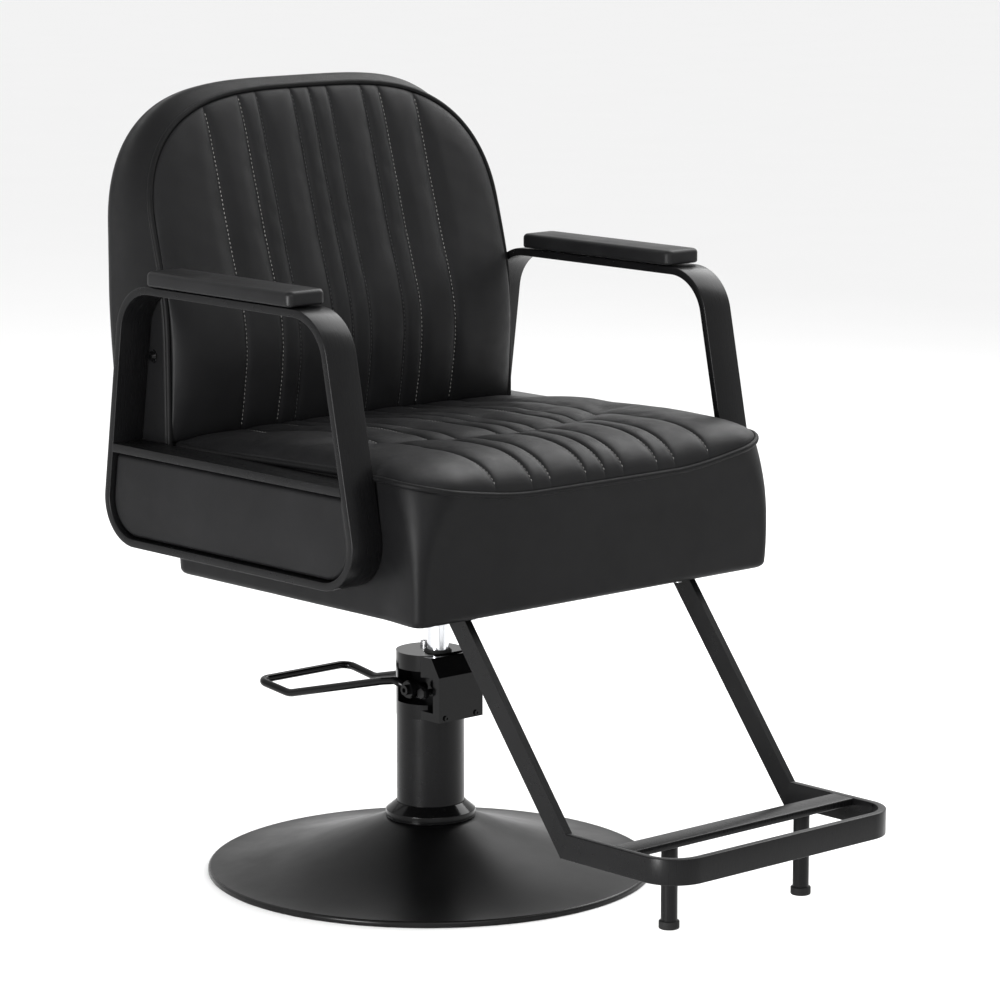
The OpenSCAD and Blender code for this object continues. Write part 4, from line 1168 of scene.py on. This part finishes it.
r = np.linspace(flat_radius, base_radius - 0.003, 60)
flat = [(0.040, dish_hi.z - dish_sheet), (0.040, dish_hi.z)]
upper = flat + list(zip(r, dish_height(r)))
lower = list(zip(r[::-1] - 0.0008, dish_height(r[::-1]) - dish_sheet))
dish = turned("dish_pressing", upper + lower, sides=160)
settle(crisp(dish, 50), "base", "dish_paint", dish_black, "base_dish")
lip = [(base_radius - 0.0032, ring_hi.z + 0.0001),
       *arc2(base_radius - 0.0034, ring_hi.z - 0.0034, 0.0034, 85, 0, 9),
       *arc2(base_radius - 0.0016, 0.0016, 0.0016, 0, -90, 5), (base_radius - 0.0088, 0.0),
       (base_radius - 0.0088, 0.0042), (base_radius - 0.0034, 0.0044)]
ring_piece = turned("floor_ring_lip", lip, sides=160)
settle(crisp(ring_piece, 60), "base", "rubber", ring_black, "base_ring")
print("dish:", round(base_radius * 2000), "mm across")

# %% [markdown]
# ## Column and collar
# Turned parts show their quality in the small rounded edges: without them a cylinder's rim is a hard
# line. The collar is a stepped ring with a sloping shoulder that hides the pump's bolted foot.

# %% Column and collar
tube_lo, tube_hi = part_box("column_tube")
tube_radius = tube_hi.x
collar_lo, collar_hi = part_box("column_collar")
collar_radius = collar_hi.x
bore = tube_radius - 0.004
sleeve = [(bore, tube_lo.z), (tube_radius, tube_lo.z), (tube_radius, tube_hi.z), (bore, tube_hi.z)]
column = turned("column_sleeve", sleeve, sides=128)
settle(crisp(column, 50), "base", "column_paint", column_black, "column_tube")
z0, z1, slip, collar_bore = collar_lo.z, collar_hi.z, 0.0003, 0.0552
shoulder_line = [(tube_radius + slip, z1), *arc2(tube_radius + 0.0010, z1 - 0.0006, 0.0006, 90, 45, 4),
                 *arc2(collar_radius - 0.0016, z0 + 0.0094, 0.0014, 48, 0, 6),
                 *arc2(collar_radius - 0.0008, z0 + 0.0010, 0.0008, 0, -70, 5), (collar_bore, z0),
                 (collar_bore, z0 + 0.0085), (tube_radius + slip, z1 - 0.007)]
collar = turned("collar_ring", shoulder_line, sides=128)
settle(crisp(collar, 32), "base", "gloss_black", gloss_black, "column_collar")

# %% [markdown]
# ## Pedal
# The pedal is one round bar bent into a long loop that leaves the two hubs, dips behind the column and
# closes in a straight end. It is a tube along a path with arcs at each bend.

# %% Pedal bar
bar_radius = 0.0053
hub_y, hub_z = -0.017, 0.248
end_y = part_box("pedal_bar")[1].y - bar_radius + 0.003
half_path = np.array([(0.048, hub_y, hub_z), (0.052, 0.010, 0.2555), (0.0560, 0.030, 0.2520),
                      (0.0745, end_y - 0.061, 0.2105), (0.0770, end_y, 0.2185)])
bends = [0, 0.014, 0.016, 0.040, 0.015]
pedal_path = bent(np.vstack([half_path, half_path[::-1] * [-1, 1, 1]]), bends + bends[::-1], steps=12)
pedal = closed_tube("pedal_loop_bar", carry(pedal_path, round_section(bar_radius, 20), (0, 0, 1)))
settle(pedal, "pedal", "pedal_paint", gloss_black, "pedal_bar")
print("pedal reach:", round(end_y, 3), "m behind the column's axis")

# %% [markdown]
# ## Return spring
# A spring under the pump's head lifts the pedal again. The coil is a wire carried along a helix, with a mesh
# of its own.

# %% The coil
spring_lo, spring_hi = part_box("plunger_spring")
spring_wire, spring_turns = 0.0007, 4


def return_spring():
    """A helix: the angle and the height both grow evenly along the wire."""
    t = np.linspace(0, 1, 24 * spring_turns + 1)
    across = (spring_hi.x - spring_lo.x) / 2 - spring_wire
    centre, low = (spring_lo + spring_hi) / 2, spring_lo.z + spring_wire
    a = 2 * np.pi * spring_turns * t
    path = np.stack([centre.x + across * np.cos(a), centre.y + across * np.sin(a),
                     low + (spring_hi.z - spring_lo.z - 2 * spring_wire) * t], -1)
    coil = closed_tube("plunger_return_spring", carry(path, round_section(spring_wire, 10), (0, 0, 1)))
    settle(coil, "base", "bare_steel", steel, "plunger_spring")
    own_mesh(coil)


return_spring()

# %% [markdown]
# ## Room, light and camera
# A pale, flat floor, wide enough and lit softly enough to lose its horizon. The light is one broad sky,
# a large soft panel above the sitter's left, a small low one at the sitter's right, which makes the
# highlight on the seat's front corner, and a weak one in front.

# %% Floor, lights and camera
def studio_floor():
    """A large pale disc at floor height."""
    a = np.linspace(0, 2 * np.pi, 64, endpoint=False)
    r = np.array([0.0, 55.0])
    pts = np.stack([r[:, None] * np.cos(a), r[:, None] * np.sin(a), np.full((2, 64), -0.0002)], -1)
    floor = build("studio_floor", pts.reshape(-1, 3), quad_grid(2, 64, False, True))
    f = Finish("floor_white", Roughness=0.9, Specular_IOR_Level=0.1)
    tint = f.colour(f.noise(3, 2), (0.937, 0.937, 0.937), (0.943, 0.943, 0.943))
    floor.data.materials.append(f.end(Base_Color=tint))


def facing(aim):
    """The turn that makes a lamp or a camera, which look along -Z, look along aim with no roll."""
    return math.acos(-aim[2] / np.linalg.norm(aim)), 0, math.atan2(aim[1], aim[0]) - math.pi / 2


def panel_light(name, place, target, size, power):
    """A rectangular area light aimed at a point."""
    data = bpy.data.lights.new(name, "AREA")
    data.shape, data.size, data.energy = "RECTANGLE", size[0], power
    data.size_y = size[1]
    lamp = bpy.data.objects.new(name, data)
    lamp.location = place
    aim = np.array(target) - np.array(place)
    lamp.rotation_euler = facing(aim)
    bpy.context.scene.collection.objects.link(lamp)


studio_floor()
panel_light("key_panel", (2.3, 0.2, 2.9), (0, 0, 0.6), (2.8, 2.8), 130)
panel_light("side_panel", (-3.2, -0.6, 0.5), (0, -0.2, 0.5), (0.9, 1.3), 150)
panel_light("front_panel", (-1.4, -3.4, 2.4), (0, 0, 0.6), (2.0, 2.0), 45)
world = bpy.data.worlds.new("studio_sky")
bpy.context.scene.world = world
world.use_nodes = True
world.node_tree.nodes["Background"].inputs["Color"].default_value = (1, 1, 1, 1)
world.node_tree.nodes["Background"].inputs["Strength"].default_value = 0.95
bpy.context.scene.view_settings.view_transform = "Standard"


def set_camera():
    """A long lens at standing eye height, a little to the sitter's right."""
    eye, target = np.array((-3.4117, -3.9069, 1.4094)), np.array((0.1218, 0.0, 0.4722))
    data = bpy.data.cameras.new("photo_camera")
    data.lens, data.sensor_width, data.clip_end = 147.5, 36.0, 120
    camera = bpy.data.objects.new("photo_camera", data)
    aim = target - eye
    camera.location = eye
    camera.rotation_euler = facing(aim)
    bpy.context.scene.collection.objects.link(camera)
    bpy.context.scene.camera = camera


set_camera()
